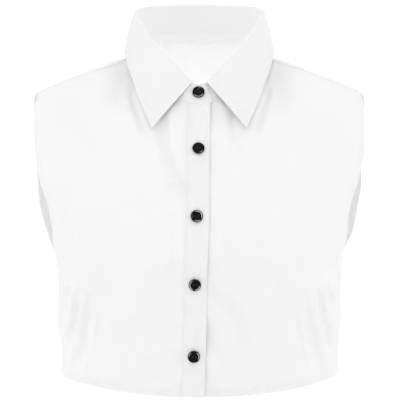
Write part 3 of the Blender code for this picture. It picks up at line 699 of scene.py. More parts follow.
FRONT_CREASES = (
    Crease("shoulder hollow, right", -77.0, -6.0, -83.0, -60.0, 0.0, 13.5, -5.6),
    Crease("shoulder hollow, left", 77.0, -6.0, 83.5, -61.0, 0.0, 13.5, -5.6),
    Crease("collar hollow, right", -71.5, -24.0, -53.5, -86.0, -2.0, 5.5, -4.2),
    Crease("collar hollow, left", 71.5, -25.0, 54.0, -85.0, 2.0, 5.5, -4.0),
    Crease("side ridge 1, right", -136.0, -236.0, -143.0, -256.0, 0.5, 2.18, 1.35),
    Crease("side trough 1, right", -131.0, -234.0, -140.0, -262.0, 0.5, 2.8, -1.5),
    Crease("side ridge 2, right", -126.0, -234.0, -141.0, -300.0, 1.5, 3.3, 2.4),
    Crease("side trough 2, right", -122.0, -238.0, -137.0, -312.0, 1.5, 3.3, -2.6),
    Crease("side ridge 3, right", -117.0, -238.0, -137.0, -338.0, 2.5, 4.0, 2.8),
    Crease("side trough 3, right", -110.0, -240.0, -125.0, -326.0, 2.0, 4.2, -2.6),
    Crease("side ridge 4, right", -106.0, -262.0, -117.0, -330.0, 1.0, 4.2, 2.2),
    Crease("side trough 4, right", -101.0, -258.0, -106.0, -294.0, 0.5, 4.2, -1.7),
    Crease("side ridge 1, left", 136.0, -240.0, 143.0, -260.0, -0.5, 2.3, 1.2),
    Crease("side trough 1, left", 131.0, -236.0, 140.0, -266.0, -0.5, 2.8, -1.6),
    Crease("side ridge 2, left", 126.0, -232.0, 141.0, -304.0, -1.5, 3.3, 2.5),
    Crease("side trough 2, left", 121.5, -236.0, 136.5, -314.0, -1.5, 3.3, -2.6),
    Crease("side ridge 3, left", 116.0, -242.0, 136.0, -340.0, -2.0, 4.0, 2.7),
    Crease("side trough 3, left", 109.0, -244.0, 124.0, -328.0, -2.0, 4.2, -2.5),
    Crease("side ridge 4, left", 105.0, -258.0, 116.0, -328.0, -1.5, 4.2, 2.1),
    Crease("side trough 4, left", 100.0, -262.0, 105.0, -298.0, -0.5, 4.2, -1.6),
    Crease("chest fold, upper", -41.0, -60.0, -25.0, -122.0, -2.0, 6.8, -4.2),
    Crease("chest fold, lower", -30.0, -98.0, 4.0, -156.0, -5.0, 7.6, -4.4),
    Crease("chest ridge", -29.0, -54.0, -24.5, -112.0, -1.0, 5.6, 2.6),
    Crease("chest smear, upper", -33.0, -139.0, -10.0, -134.0, 2.0, 5.6, -1.9),
    Crease("chest smear, lower", -30.0, -160.0, -25.0, -172.0, 0.0, 5.5, -1.0),
    Crease("chest fold, left", 34.0, -54.0, 36.0, -100.0, 1.0, 6.4, -3.6),
    Crease("placket drag, right", -30.0, -176.0, -21.0, -232.0, -1.5, 5.0, -1.2),
    Crease("placket drag, left", 26.0, -168.0, 20.0, -226.0, 1.5, 5.0, -1.2),
    Crease("waist hollow, right", -22.0, -246.0, -52.0, -300.0, 4.0, 15.0, -3.2),
    Crease("waist hollow, left", 22.0, -240.0, 54.0, -296.0, -4.0, 15.0, -3.2),
    Crease("arm fold, right", -140.0, -152.0, -126.0, -206.0, 2.0, 4.2, -1.1),
    Crease("arm fold, left", 141.0, -158.0, 127.0, -210.0, -2.0, 4.2, -1.0),
)
FRONT = Panel(FRONT_SECTIONS, FRONT_LEAVE, 0.0, FRONT_CREASES)
# Free edge of the placket and so of the right front, by height
PlacketEdge = namedtuple("PlacketEdge", "z x")
PLACKET_EDGE = (
    PlacketEdge(-349.0, 5.2),
    PlacketEdge(-274.0, 7.1),
    PlacketEdge(-232.0, 7.5),
    PlacketEdge(-172.0, 9.8),
    PlacketEdge(-50.0, 10.9),
)


def across_at(x, up):
    """Place across the front where its form is at x, by six steps of Newton's rule."""
    across = x / FRONT_HALF_WIDTH
    for _ in range(6):
        slope = (panel_form(FRONT, across + SLOPE_STEP, up)[..., 0]
                 - panel_form(FRONT, across - SLOPE_STEP, up)[..., 0]) / (2.0 * SLOPE_STEP)
        across = across - (panel_form(FRONT, across, up)[..., 0] - x) / slope
    return across


def placket_edge(up):
    """Free edge of the placket at each place up the front."""
    return table_curve(PLACKET_EDGE, panel_form(FRONT, np.zeros_like(up), up)[:, 2])[:, 0]


def front_surface(across, up, lift=0.0):
    """Middle of a front's cloth, whose creases fade out at the closure's layers."""
    point = panel_form(FRONT, across, up)
    fade = smooth_step(*CLOSURE_FADE, np.abs(point[..., 0]))
    depth = crease_depth(FRONT.creases, point) * fade + lift
    return point + panel_outward(FRONT, across, up) * depth[..., None]


front_up = even_places(FRONT, NECK_COLUMN, GRID_STEP)


def sewn_front(name, side, edge_x, node, seed):
    """A front panel of one side, from its lap edge at edge_x to its armhole and side seam."""
    lap_start = across_at(-edge_x, front_up)
    lap_end = across_at(np.full_like(front_up, LAP_COLUMNS_END), front_up)
    lap = lap_start[:, None] + (lap_end - lap_start)[:, None] * np.linspace(0.0, 1.0, 15)
    middle = lap_end[:, None] + (NECK_COLUMN - lap_end)[:, None] * np.linspace(0.0, 1.0, 44)[1:]
    beyond = np.broadcast_to(shoulder_columns[1:], (len(front_up), len(shoulder_columns) - 1))
    across = side * np.concatenate([lap, middle, beyond], axis=1)
    form_x = panel_form(FRONT, across, front_up[:, None])[..., 0]
    lift = np.zeros_like(form_x)
    if side > 0:
        lift = -LAYER_STEP * (1.0 - smooth_step(*LAP_FADE, form_x))
    grid = front_surface(across, front_up[:, None], lift)
    grid = trimmed(grid, top=SEAM_TRIM, right=SEAM_TRIM)
    if side < 0:
        grid = grid[:, ::-1]
    edge = -1 if side > 0 else 0
    outer, inner, measures, hem_away, armhole_away = hemmed(
        grid, [armhole_line(grid, edge, UNDERARM_Z)], seed)
    piece = cloth_wall(name, outer, inner, measures,
                       cotton(name.replace("_", " "), ("hem_row", "armhole_row")))
    rows = hem_stitches(outer, hem_away, armhole_away, (side > 0,))
    stitches = sewing(name.replace("cloth", "stitches"), rows, WHITE_THREAD)
    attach(piece, "root")
    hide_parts(node)


EDGE_UNDER_PLACKET = 1.5
RIGHT_SEED = 31
LEFT_SEED = 47
sewn_front("front_right_cloth", -1, placket_edge(front_up) - EDGE_UNDER_PLACKET, "front_right",
           RIGHT_SEED)
sewn_front("front_left_cloth", 1, np.full_like(front_up, -BUTTON_STAND_EDGE), "front_left",
           LEFT_SEED)

# Placket: a folded strip of the same cotton down the right front's edge, sewn on by its inner
# edge. It lies on top of the panel and closes over the left front's button stand.
PLACKET_WIDTH = 24.0
PLACKET_STEP = 1.3
PLACKET_COLUMNS = 25
PLACKET_CLOTH = 0.8
PLACKET_ROW = 2.6
PLACKET_TOP_TRIM = 0.4
PLACKET_RIPPLE = 0.10
PLACKET_SEED = 63
# Its side view from the sewn edge: it lies low there, rises, and rounds off at the free edge
PLACKET_FOOT = 0.12
PLACKET_RISE = 1.93
PLACKET_RISE_SPAN = (-2.0, 10.0)
PLACKET_FALL = 1.05
PLACKET_FALL_START = 17.0
PLACKET_TOP_SINK = 0.9
PLACKET_TOP_SPAN = (-8.0, 0.0)
PLACKET_DEEPEST = -0.1
# Where the free edge stands off between its buttons, by height
EdgeGape = namedtuple("EdgeGape", "z half_length lift")
EDGE_GAPES = (
    EdgeGape(-60.0, 7.0, 3.0),
    EdgeGape(-128.0, 20.0, -0.5),
    EdgeGape(-196.0, 22.0, 0.3),
    EdgeGape(-244.0, 12.0, -0.4),
    EdgeGape(-287.0, 15.0, 3.2),
    EdgeGape(-334.0, 10.0, 0.4),
)
# Waves of its free edge: height, length for one radian, and shift
EDGE_WAVES = ((0.35, 9.0, 0.0), (0.25, 4.1, 1.0))
EDGE_WAVES_START = 15.0
placket_up = even_places(FRONT, 0.0, PLACKET_STEP)
placket_share = np.linspace(0.0, 1.0, PLACKET_COLUMNS)
placket_x = placket_edge(placket_up)[:, None] - PLACKET_WIDTH * (1.0 - placket_share)
placket_across = across_at(placket_x, placket_up[:, None])
placket_in = PLACKET_WIDTH * placket_share[None, :] * np.ones((len(placket_up), 1))
placket_middle = front_surface(placket_across, placket_up[:, None])
placket_outward = panel_outward(FRONT, placket_across, placket_up[:, None])
placket_run = (arc_lengths(placket_middle[:, PLACKET_COLUMNS // 2])[:, None]
               * np.ones_like(placket_in))
placket_lift = PLACKET_FOOT + PLACKET_RISE * smooth_step(*PLACKET_RISE_SPAN, placket_in)
placket_lift -= PLACKET_FALL * smooth_step(PLACKET_FALL_START, PLACKET_WIDTH, placket_in)
placket_lift += PLACKET_RIPPLE * pucker(placket_run, placket_in, PLACKET_ROW + 2.0, PLACKET_SEED)
placket_lift -= PLACKET_TOP_SINK * smooth_step(*PLACKET_TOP_SPAN, placket_run - placket_run[-1])
edge_waves = sum(height * np.sin(placket_run / length + shift)
                 for height, length, shift in EDGE_WAVES)
for gape in EDGE_GAPES:
    edge_waves += gape.lift * np.exp(-((placket_middle[..., 2] - gape.z) / gape.half_length)**2)
placket_lift += edge_waves * smooth_step(EDGE_WAVES_START, PLACKET_WIDTH, placket_in)
placket_hem_away = nearest_on(placket_middle[0], placket_middle)[0]
placket_outer = placket_middle + placket_outward * placket_lift[..., None]
placket_under = np.maximum(placket_lift - PLACKET_CLOTH, PLACKET_DEEPEST)
placket_inner = placket_middle + placket_outward * placket_under[..., None]
placket = cloth_wall("placket_cloth", trimmed(placket_outer, top=PLACKET_TOP_TRIM),
                     trimmed(placket_inner, top=PLACKET_TOP_TRIM),
                     {"edge_row": (placket_in - PLACKET_ROW) / ROW_SPREAD,
                      "hem_row": (placket_hem_away - BOTTOM_HEM + ROW_INSET) / ROW_SPREAD},
                     cotton("placket cotton", ("edge_row", "hem_row")))


def placket_line(values, across_length):
    """Points of the placket's outer face and its outward direction along one of its lengths."""
    column = across_length / PLACKET_WIDTH * (len(placket_share) - 1)
    low = int(column)
    share = column - low
    return values[:, low] * (1.0 - share) + values[:, low + 1] * share


# Buttonholes: upright slits in the placket, worked over on both sides with close stitches of the
# white thread. Each button covers its slit but for the two ends.
ButtonPlace = namedtuple("ButtonPlace", "name x z twist tilt_x tilt_z")
PLACKET_BUTTONS = (
    ButtonPlace("button_2", -0.9, -97.4, -6.0, 0.02, 0.05),
    ButtonPlace("button_3", -2.6, -163.5, 9.0, 0.10, -0.01),
    ButtonPlace("button_4", -4.4, -231.6, 3.0, -0.04, -0.09),
    ButtonPlace("button_5", -5.6, -305.8, -12.0, 0.11, -0.07),
)
HOLE_LENGTH = 17.0
HOLE_HALF_WIDTH = 1.15
HOLE_SLIT = 0.12
HOLE_STITCHES = 44
HOLE_THREAD_RADIUS = 0.13
HOLE_LIFT = 0.08
HOLE_DIP = -0.1


def place_on_front(x, z):
    """Place (across, up) where the front's form is at x and z, by steps of Newton's rule."""
    up = (z - FRONT_SECTIONS[0].centre_z) / (NECK_FRONT_Z - FRONT_SECTIONS[0].centre_z)
    for _ in range(12):
        across = across_at(x, up)
        slope = (panel_form(FRONT, across, up + SLOPE_STEP)[..., 2]
                 - panel_form(FRONT, across, up - SLOPE_STEP)[..., 2]) / (2.0 * SLOPE_STEP)
        up = up - (panel_form(FRONT, across, up)[..., 2] - z) / slope
    return across_at(x, up), up


def buttonhole(x, z):
    """Starts, ends and outward directions of the short stitches on both sides of a slit."""
    heights = z + HOLE_LENGTH * (np.linspace(0.0, 1.0, HOLE_STITCHES) - 0.5)
    across, up = place_on_front(np.full(HOLE_STITCHES, x), heights)
    outward = panel_outward(FRONT, across, up)
    middle = front_surface(across, up) + outward * (PLACKET_FOOT + PLACKET_RISE + HOLE_LIFT)
    aside = np.array([1.0, 0.0, 0.0])
    starts, ends = [], []
    for side in (-1.0, 1.0):
        starts.append(middle + aside * side * HOLE_SLIT)
        ends.append(middle + aside * side * HOLE_HALF_WIDTH + outward * HOLE_DIP)
    return np.concatenate(starts), np.concatenate(ends), np.concatenate([outward, outward])


placket_rows = [stitch_ends(placket_line(placket_outer, PLACKET_ROW),
                            placket_line(placket_outward, PLACKET_ROW))]
placket_both = np.concatenate([placket_outer, placket_outward], axis=-1).transpose(1, 0, 2)
placket_hem_line = row_crossing(placket_both, placket_hem_away.T, BOTTOM_HEM - ROW_INSET)
placket_rows.append(stitch_ends(placket_hem_line[:, :3], unit(placket_hem_line[:, 3:])))
placket_sewing = sewing("placket_stitches", placket_rows, WHITE_THREAD)
hole_sewing = sewing("buttonhole_stitches",
                     [buttonhole(place.x, place.z) for place in PLACKET_BUTTONS], WHITE_THREAD,
                     HOLE_THREAD_RADIUS)
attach(placket, "root")
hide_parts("placket")

# Seam allowances: where two panels join at a shoulder or a side, their edges are felled to the
# inside as one flat strip, which closes the seam.
ALLOWANCE = (0.0, 1.5, 3.0, 5.0)
ALLOWANCE_CLOTH = 0.5
ALLOWANCE_GAP = 0.02
ALLOWANCE_SPAN = 130.0
SHOULDER_MIDDLE = 0.7
SHOULDER_PLACES = np.linspace(0.9, 1.0, 200)
SIDE_ROWS = 70


def seam_strip(name, front_points, front_outward, back_points, back_outward):
    """Strip under a seam, from lines of points on the front and then on the back."""
    grid = np.concatenate([front_points, back_points])
    outward = np.concatenate([front_outward, back_outward])
    top = grid - outward * (CLOTH / 2.0 + ALLOWANCE_GAP)
    under = top - outward * ALLOWANCE_CLOTH
    if (grid_outward(grid) * outward).sum() < 0.0:
        top, under = top[:, ::-1], under[:, ::-1]
    piece = cloth_wall(name, top, under, {}, cotton(name.replace("_", " ")))
    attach(piece, "root")


def side_name(side):
    """Wearer's side as a word: left towards +X."""
    return "left" if side > 0 else "right"


def cloth_on(panel, across, up):
    """Points on the middle of a panel's cloth, and its outward directions there."""
    point = front_surface(across, up) if panel is FRONT else panel_surface(BACK, across, up)
    return point, panel_outward(panel, across, up)


def shoulder_strip(side):
    """Strip along a shoulder seam."""
    across = side * shoulder_columns[None, 1:]
    lines = []
    for panel in (FRONT, BACK):
        line = panel_form(panel, side * SHOULDER_MIDDLE, SHOULDER_PLACES)
        up = np.interp(ALLOWANCE, arc_lengths(line[::-1]), SHOULDER_PLACES[::-1])[:, None]
        lines.append(cloth_on(panel, across, up))
    (front_point, front_out), (back_point, back_out) = lines
    seam_strip("shoulder_allowance_" + side_name(side),
               front_point[:0:-1], front_out[:0:-1], back_point, back_out)


def side_strip(side):
    """Strip along a side seam, from the hem to the underarm."""
    inward = 1.0 - np.array(ALLOWANCE)[:, None] / ALLOWANCE_SPAN
    lines = []
    for panel in (FRONT, BACK):
        fine = np.linspace(0.0, 1.0, FINE_STEPS)
        edge = panel_form(panel, side, fine)
        travelled = arc_lengths(edge)
        end = travelled[np.flatnonzero(edge[:, 2] < UNDERARM_Z)[-1]]
        up = np.interp(np.linspace(0.3, end - 0.5, SIDE_ROWS), travelled, fine)[None, :]
        lines.append(cloth_on(panel, side * inward, up))
    (front_point, front_out), (back_point, back_out) = lines
    seam_strip("side_allowance_" + side_name(side),
               front_point[:0:-1], front_out[:0:-1], back_point, back_out)


for body_side in (-1.0, 1.0):
    shoulder_strip(body_side)
    side_strip(body_side)

# Collar stand: a stiffened double band of cotton, standing up from the neck seam to the fold.
# Its two ends lap in front, the right over the left, and the top button closes them.
FOLD_HALF_WIDTH = 64.2
FOLD_FRONT = 51.0
FOLD_BACK = 47.0
FOLD_ROLL = 1.8
FOLD_SEAM_GAP = 0.08
STAND_CLOTH = 1.4
LEAF_CLOTH = 1.2
STAND_LAP = 0.95
STAND_OUTER_END = 11.0
STAND_INNER_END = 14.0
STAND_END_DROP = 5.0
STAND_ROW = 2.5
STAND_ROWS = 27
STAND_CROWN = 0.35
# How far its outer and inner foot run past the neck seam. The inner one does so at the front only
STAND_OVER_SEAM = 1.0
STAND_UNDER_SEAM = 3.0
STAND_UNDER_DRAW = 0.6
STAND_FRONT_SPAN = (0.5, 0.8)
FoldHeight = namedtuple("FoldHeight", "angle height")
FOLD_LINE = (
    FoldHeight(0.0, -29.4),
    FoldHeight(6.0, -28.0),
    FoldHeight(17.0, -15.3),
    FoldHeight(31.0, 0.0),
    FoldHeight(54.0, 20.8),
    FoldHeight(66.0, 31.5),
    FoldHeight(78.0, 39.8),
    FoldHeight(92.0, 44.0),
    FoldHeight(130.0, 48.6),
    FoldHeight(180.0, 50.5),
)


def from_front(angle):
    """Angle turned into -180 to 180 degrees from the front."""
    return (np.asarray(angle, float) + 180.0) % 360.0 - 180.0


def fold_point(angle):
    """Top of the collar's fold: an ellipse in plan at the heights of its table."""
    height = table_curve(FOLD_LINE, np.abs(from_front(angle)))
    return np.concatenate([ring(angle, FOLD_HALF_WIDTH, FOLD_FRONT, FOLD_BACK), height], axis=-1)


def fold_frame(angle):
    """Outward direction in plan and upward direction, both square to the fold line."""
    along = unit(fold_point(angle + 0.5) - fold_point(angle - 0.5))
    outward = unit(np.stack([along[:, 1], -along[:, 0], np.zeros(len(angle))], axis=-1))
    upward = unit(np.cross(along, outward))
    return outward, upward * np.sign(upward[:, 2:])


def stand_top(angle):
    """Top edge of the stand, under the roll of the fold."""
    outward, upward = fold_frame(angle)
    return fold_point(angle) - upward * (FOLD_ROLL + LEAF_CLOTH / 2.0 + FOLD_SEAM_GAP)


inner_end = -math.degrees(math.asin(STAND_INNER_END / NECK_FRONT))
outer_end = 360.0 + math.degrees(math.asin(STAND_OUTER_END / NECK_FRONT))
stand_angle = np.concatenate([np.linspace(inner_end, 0.0, 12)[:-1], np.linspace(0.0, 360.0, 301),
                              np.linspace(360.0, outer_end, 10)[1:]])
stand_bottom, stand_upper = neckline(stand_angle), stand_top(stand_angle)
past = np.maximum(-stand_angle, stand_angle - 360.0)
lap_share = np.clip(past / -inner_end, 0.0, 1.0)
lap_height = stand_top(np.zeros(1))[0, 2] - STAND_END_DROP * lap_share**2
lap_top = np.concatenate([ring(stand_angle, FOLD_HALF_WIDTH, FOLD_FRONT, FOLD_BACK),
                          lap_height[:, None]], axis=-1)
stand_upper = np.where(past[:, None] > 0.0, lap_top, stand_upper)
over = np.cos(np.clip(np.radians(360.0 - stand_angle) * 2.0, 0.0, math.pi / 2.0))
below = np.cos(np.clip(np.radians(stand_angle) * 2.0, 0.0, math.pi / 2.0))
radial = unit(stand_bottom * np.array([1.0, 1.0, 0.0]))
stand_share = np.linspace(0.0, 1.0, STAND_ROWS)[:, None, None]
stand_grid = (stand_bottom + stand_share * (stand_upper - stand_bottom)
              + radial * (STAND_LAP * (over - below))[:, None])
stand_outward = grid_outward(stand_grid)
stand_height = np.linalg.norm(stand_upper - stand_bottom, axis=1)
stand_above = stand_share[..., 0] * stand_height
stand_crown = STAND_CROWN * np.sin(math.pi * stand_share[..., 0]) * np.ones_like(stand_above)
stand_outer = stand_grid + stand_outward * (STAND_CLOTH / 2.0 + stand_crown * 0.5)[..., None]
stand_inner = stand_grid - stand_outward * (STAND_CLOTH / 2.0)
stand_down = unit(stand_grid[0] - stand_grid[1])
towards_front = smooth_step(*STAND_FRONT_SPAN, np.cos(np.radians(stand_angle)))[:, None]
stand_outer[0] += stand_down * STAND_OVER_SEAM
stand_inner[0] += (stand_down * STAND_UNDER_SEAM - radial * STAND_UNDER_DRAW) * towards_front
stand = cloth_wall("collar_stand_cloth", stand_outer, stand_inner,
                   {"foot_row": (stand_above - STAND_ROW) / ROW_SPREAD},
                   cotton("collar stand cotton", ("foot_row",)))
row_share = STAND_ROW / stand_height[:, None]
stand_line_outer = stand_outer[0] + row_share * (stand_outer[-1] - stand_outer[0])
stand_line_inner = stand_inner[0] + row_share * (stand_inner[-1] - stand_inner[0])
stand_sewing = sewing("collar_stand_stitches",
                      [stitch_ends(stand_line_outer + stand_outward[2] * 0.1, stand_outward[2]),
                       stitch_ends(stand_line_inner, -stand_outward[2])], WHITE_THREAD)
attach(stand, "root")
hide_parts("collar_stand")

# Collar leaf: two layers of cotton with a stiff interlining, sewn, turned and edge-stitched. It
# rolls over the top of the stand and falls to its edge, with a point at each front end.
LEAF_FRONT_ANGLE = 6.0
LEAF_BULGE = 1.2
LEAF_SETTLE = 0.8
LEAF_SETTLE_SPAN = (60.0, 110.0)
LEAF_UNDER_STAND = 0.6
LEAF_ROW = 5.5
LEAF_RIPPLE = 0.10
LEAF_RIPPLE_UNDER = 0.4
LEAF_SEED = 91
LEAF_COLUMNS = 321
ROLL_ROWS = 13
FALL_ROWS = 55
LeafEdge = namedtuple("LeafEdge", "angle x y z")
LEAF_EDGE = (
    LeafEdge(6.0, 48.0, -82.5, -75.5),
    LeafEdge(28.0, 59.0, -63.5, -52.5),
    LeafEdge(50.0, 66.8, -46.5, -31.7),
    LeafEdge(68.0, 72.5, -32.0, -16.9),
    LeafEdge(84.0, 76.6, -13.0, -4.6),
    LeafEdge(100.0, 78.0, 6.0, 0.5),
    LeafEdge(130.0, 67.0, 38.5, 5.5),
    LeafEdge(155.0, 39.0, 57.0, 7.5),
    LeafEdge(180.0, 0.0, 63.0, 8.0),
)
leaf_angle = np.linspace(LEAF_FRONT_ANGLE, 360.0 - LEAF_FRONT_ANGLE, LEAF_COLUMNS)
from_middle = np.abs(from_front(leaf_angle))
leaf_edge = table_curve(LEAF_EDGE, from_middle)
leaf_edge[:, 0] *= np.sign(from_front(leaf_angle))
leaf_edge[:, 1] += LEAF_SETTLE * (1.0 - smooth_step(*LEAF_SETTLE_SPAN, from_middle))
leaf_out, leaf_up = fold_frame(leaf_angle)
roll_centre = (fold_point(leaf_angle) - leaf_up * (FOLD_ROLL + LEAF_CLOTH / 2.0)
               + leaf_out * FOLD_ROLL)
roll_turn = np.linspace(0.0, math.pi, ROLL_ROWS)[:, None, None]
leaf_roll = (roll_centre - leaf_out * FOLD_ROLL * np.cos(roll_turn)
             + leaf_up * FOLD_ROLL * np.sin(roll_turn))
leaf_roll[0] -= leaf_up * LEAF_UNDER_STAND
leaf_foot = leaf_roll[-1]
leaf_middle = (leaf_foot + leaf_edge) / 2.0 + unit(leaf_out + leaf_up) * LEAF_BULGE * 2.0
fall = np.linspace(0.0, 1.0, FALL_ROWS + 1)[1:, None, None]
leaf_fall = (1 - fall)**2 * leaf_foot + 2 * fall * (1 - fall) * leaf_middle + fall**2 * leaf_edge
leaf_grid = np.concatenate([leaf_roll, leaf_fall])[::-1]
leaf_rim = np.concatenate([leaf_grid[::-1, 0], leaf_grid[0], leaf_grid[:, -1]])
apart = np.linalg.norm(np.diff(leaf_rim, axis=0), axis=1) > 1e-6
leaf_away, leaf_along = nearest_on(leaf_rim[np.concatenate([[True], apart])], leaf_grid)
leaf_outward = grid_outward(leaf_grid)
leaf_ripple = LEAF_RIPPLE * pucker(leaf_along, leaf_away, LEAF_ROW, LEAF_SEED)
leaf_outer = leaf_grid + leaf_outward * (LEAF_CLOTH / 2.0 + leaf_ripple)[..., None]
leaf_inner = (leaf_grid
              - leaf_outward * (LEAF_CLOTH / 2.0 - leaf_ripple * LEAF_RIPPLE_UNDER)[..., None])
leaf = cloth_wall("collar_leaf_cloth", leaf_outer, leaf_inner,
                  {"edge_row": (leaf_away - LEAF_ROW) / ROW_SPREAD},
                  cotton("collar leaf cotton", ("edge_row",)))
fall_both = np.concatenate([leaf_outer, leaf_outward], axis=-1)[:FALL_ROWS]
fall_away = leaf_away[:FALL_ROWS]
leaf_lines = [row_crossing(fall_both.transpose(1, 0, 2), fall_away.T, LEAF_ROW)]
leaf_lines += [row_crossing(fall_both, fall_away, LEAF_ROW, reverse) for reverse in (False, True)]
leaf_sewing = sewing("collar_leaf_stitches",
                     [stitch_ends(line[:, :3], unit(line[:, 3:])) for line in leaf_lines],
                     WHITE_THREAD)
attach(leaf, "root")
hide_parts("collar_leaf")

# Buttons: five of black polyester, cast with a rim and a dished middle with four holes, and sewn
# on with black thread. They sit on the lapped ends of the stand and down the placket.
BUTTON_RADIUS = 6.3
BUTTON_HEIGHT = 2.4
BUTTON_SEAT = 0.35
TOP_BUTTON_SEAT = 0.55
TOP_BUTTON_X = -0.5
TOP_BUTTON_RISE = 0.48
BUTTON_HOLE_RADIUS = 0.8
BUTTON_HOLE_SPACING = 1.45
BUTTON_HOLE_FLOOR = 0.25
BUTTON_HOLE_EDGE = 0.12
BUTTON_TOP_TURN = 5.2
BUTTON_EDGE_ANGLE = 55.0
# The button's thread: its radius, how far its two strands lie apart from the middle, how high it
# passes over the dish, and the two ends of its shank
BUTTON_THREAD_RADIUS = 0.21
BUTTON_STRAND = 0.22
BUTTON_THREAD_LIFT = 0.16
SHANK_TOP = 0.1
SHANK_FOOT = -0.75
TOP_BUTTON_TILT = (-0.05, 0.0, -0.09)
TOP_BUTTON_TWIST = 4.0
PLACKET_LIFT = 2.17
BUTTON_BLACK = (0.0014, 0.0014, 0.0016)
BUTTON_VEIN = (0.004, 0.004, 0.0045)
# Painted highlight: the pale colour of the arcs along the top of each button's rim
BUTTON_PAINTED_GLINT = (0.62, 0.62, 0.625)
BUTTON_THREAD_BLACK = (0.010, 0.010, 0.011)
MARBLE_SCALE = 160.0
SCUFF_SCALE = 900.0
SCUFF_RELIEF = 0.01
# Noise arcs of the painted highlight: their size, level and steepness
GLINT_ARC_SCALE = 130.0
GLINT_ARC_LEVEL = 0.52
GLINT_ARC_STEEPNESS = 11.0
# Side view of a button, from the middle of its underside round its rim to its dished middle
ButtonRing = namedtuple("ButtonRing", "turn distance level")
BUTTON_RINGS = (
    ButtonRing(0.0, 0.0, 0.0),
    ButtonRing(1.0, 0.60, 0.0),
    ButtonRing(1.5, 0.86, 0.05),
    ButtonRing(2.0, 0.965, 0.25),
    ButtonRing(2.5, 1.0, 0.52),
    ButtonRing(3.0, 0.985, 0.80),
    ButtonRing(3.5, 0.935, 0.96),
    ButtonRing(4.0, 0.875, 1.0),
    ButtonRing(4.5, 0.81, 0.94),
    ButtonRing(5.0, 0.745, 0.76),
    ButtonRing(5.5, 0.66, 0.63),
    ButtonRing(6.5, 0.40, 0.565),
    ButtonRing(8.0, 0.0, 0.55),
)
BUTTON_TURNS = 96
BUTTON_STEPS = 110
# Where the painted highlight lies on the side view, and how far it spreads
CREST_TURN = 4.55
CREST_SPREAD = 0.38
BUTTON_HOLES = [(x, y) for x in (-1.0, 1.0) for y in (-1.0, 1.0)]
button_rows = np.linspace(0.0, BUTTON_RINGS[-1].turn, BUTTON_STEPS)


def button_surface():
    """Points of the side view turned about the axis, with the four holes sunk into the dish."""
    profile = table_curve(BUTTON_RINGS, button_rows)
    turn = np.linspace(0.0, 2.0 * math.pi, BUTTON_TURNS, endpoint=False)
    distance = BUTTON_RADIUS * profile[:, :1]
    points = np.stack([distance * np.cos(turn), distance * np.sin(turn),
                       BUTTON_HEIGHT * profile[:, 1:] * np.ones(BUTTON_TURNS)], axis=-1)
    hole = np.zeros(points.shape[:2])
    for x, y in BUTTON_HOLES:
        away = np.hypot(points[..., 0] - x * BUTTON_HOLE_SPACING,
                        points[..., 1] - y * BUTTON_HOLE_SPACING)
        hole = np.maximum(hole, 1.0 - smooth_step(BUTTON_HOLE_RADIUS - BUTTON_HOLE_EDGE,
                                                  BUTTON_HOLE_RADIUS + BUTTON_HOLE_EDGE, away))
    on_top = button_rows[:, None] > BUTTON_TOP_TURN
    points[..., 2] += on_top * hole * (BUTTON_HOLE_FLOOR - points[..., 2])
    return points


def black_gloss():
    """Cast black polyester: a thin coat over a dark body, fine scuffs, and a highlight painted in
    arcs on the rim.
    """
    finish, shader, wire = new_finish("black polyester", BUTTON_BLACK, 0.2)
    shader.inputs["Specular IOR Level"].default_value = 0.04
    shader.inputs["Coat Weight"].default_value = 0.10
    shader.inputs["Coat Roughness"].default_value = 0.06
    shape = wire.node("ShaderNodeTexCoord", output=3)
    scuff = shape.noise(SCUFF_SCALE, 4.0)
    black = shape.noise(MARBLE_SCALE, 2.0).mix(BUTTON_BLACK, BUTTON_VEIN)
    crest = wire.node("ShaderNodeAttribute", {"attribute_name": "crest"}, output=2)
    # Painted highlight: arcs of noise along the rim's crest, mixed towards a pale colour
    arcs = (shape.noise(GLINT_ARC_SCALE, 0.0) - GLINT_ARC_LEVEL) * GLINT_ARC_STEEPNESS
    painted_glint = crest * arcs.math("MINIMUM", 1.0).math("MAXIMUM", 0.0)
    painted_glint.mix(black, BUTTON_PAINTED_GLINT).into(shader, "Base Color")
    (scuff * 0.16 + 0.12).into(shader, "Roughness")
    (scuff * (SCUFF_RELIEF * MM)).bump(0.6).into(shader, "Normal")
    return finish


BUTTON_FINISH = black_gloss()
BLACK_THREAD = thread_finish("black thread", BUTTON_THREAD_BLACK)


def lathe_mesh(name, points, crest):
    """Closed mesh of a turned grid whose first and last rows are single points.

    Crest is how near each row is to the top of the rim, where a highlight is painted in arcs.
    """
    rows, columns = points.shape[:2]
    index = np.arange(rows * columns).reshape(rows, columns)
    after = np.roll(index, -1, axis=1)
    quads = np.stack([index[:-1], after[:-1], after[1:], index[1:]], axis=-1)
    mesh = quad_mesh(name, points.reshape(-1, 3), quads.reshape(-1, 4))
    layer = mesh.attributes.new("crest", "FLOAT", "POINT")
    layer.data.foreach_set("value", np.repeat(crest, columns))
    join = bmesh.new()
    join.from_mesh(mesh)
    bmesh.ops.remove_doubles(join, verts=join.verts, dist=1e-6)
    bmesh.ops.recalc_face_normals(join, faces=join.faces)
    join.to_mesh(mesh)
    join.free()
    mesh.shade_smooth()
    mesh.set_sharp_from_angle(angle=math.radians(BUTTON_EDGE_ANGLE))
    return mesh


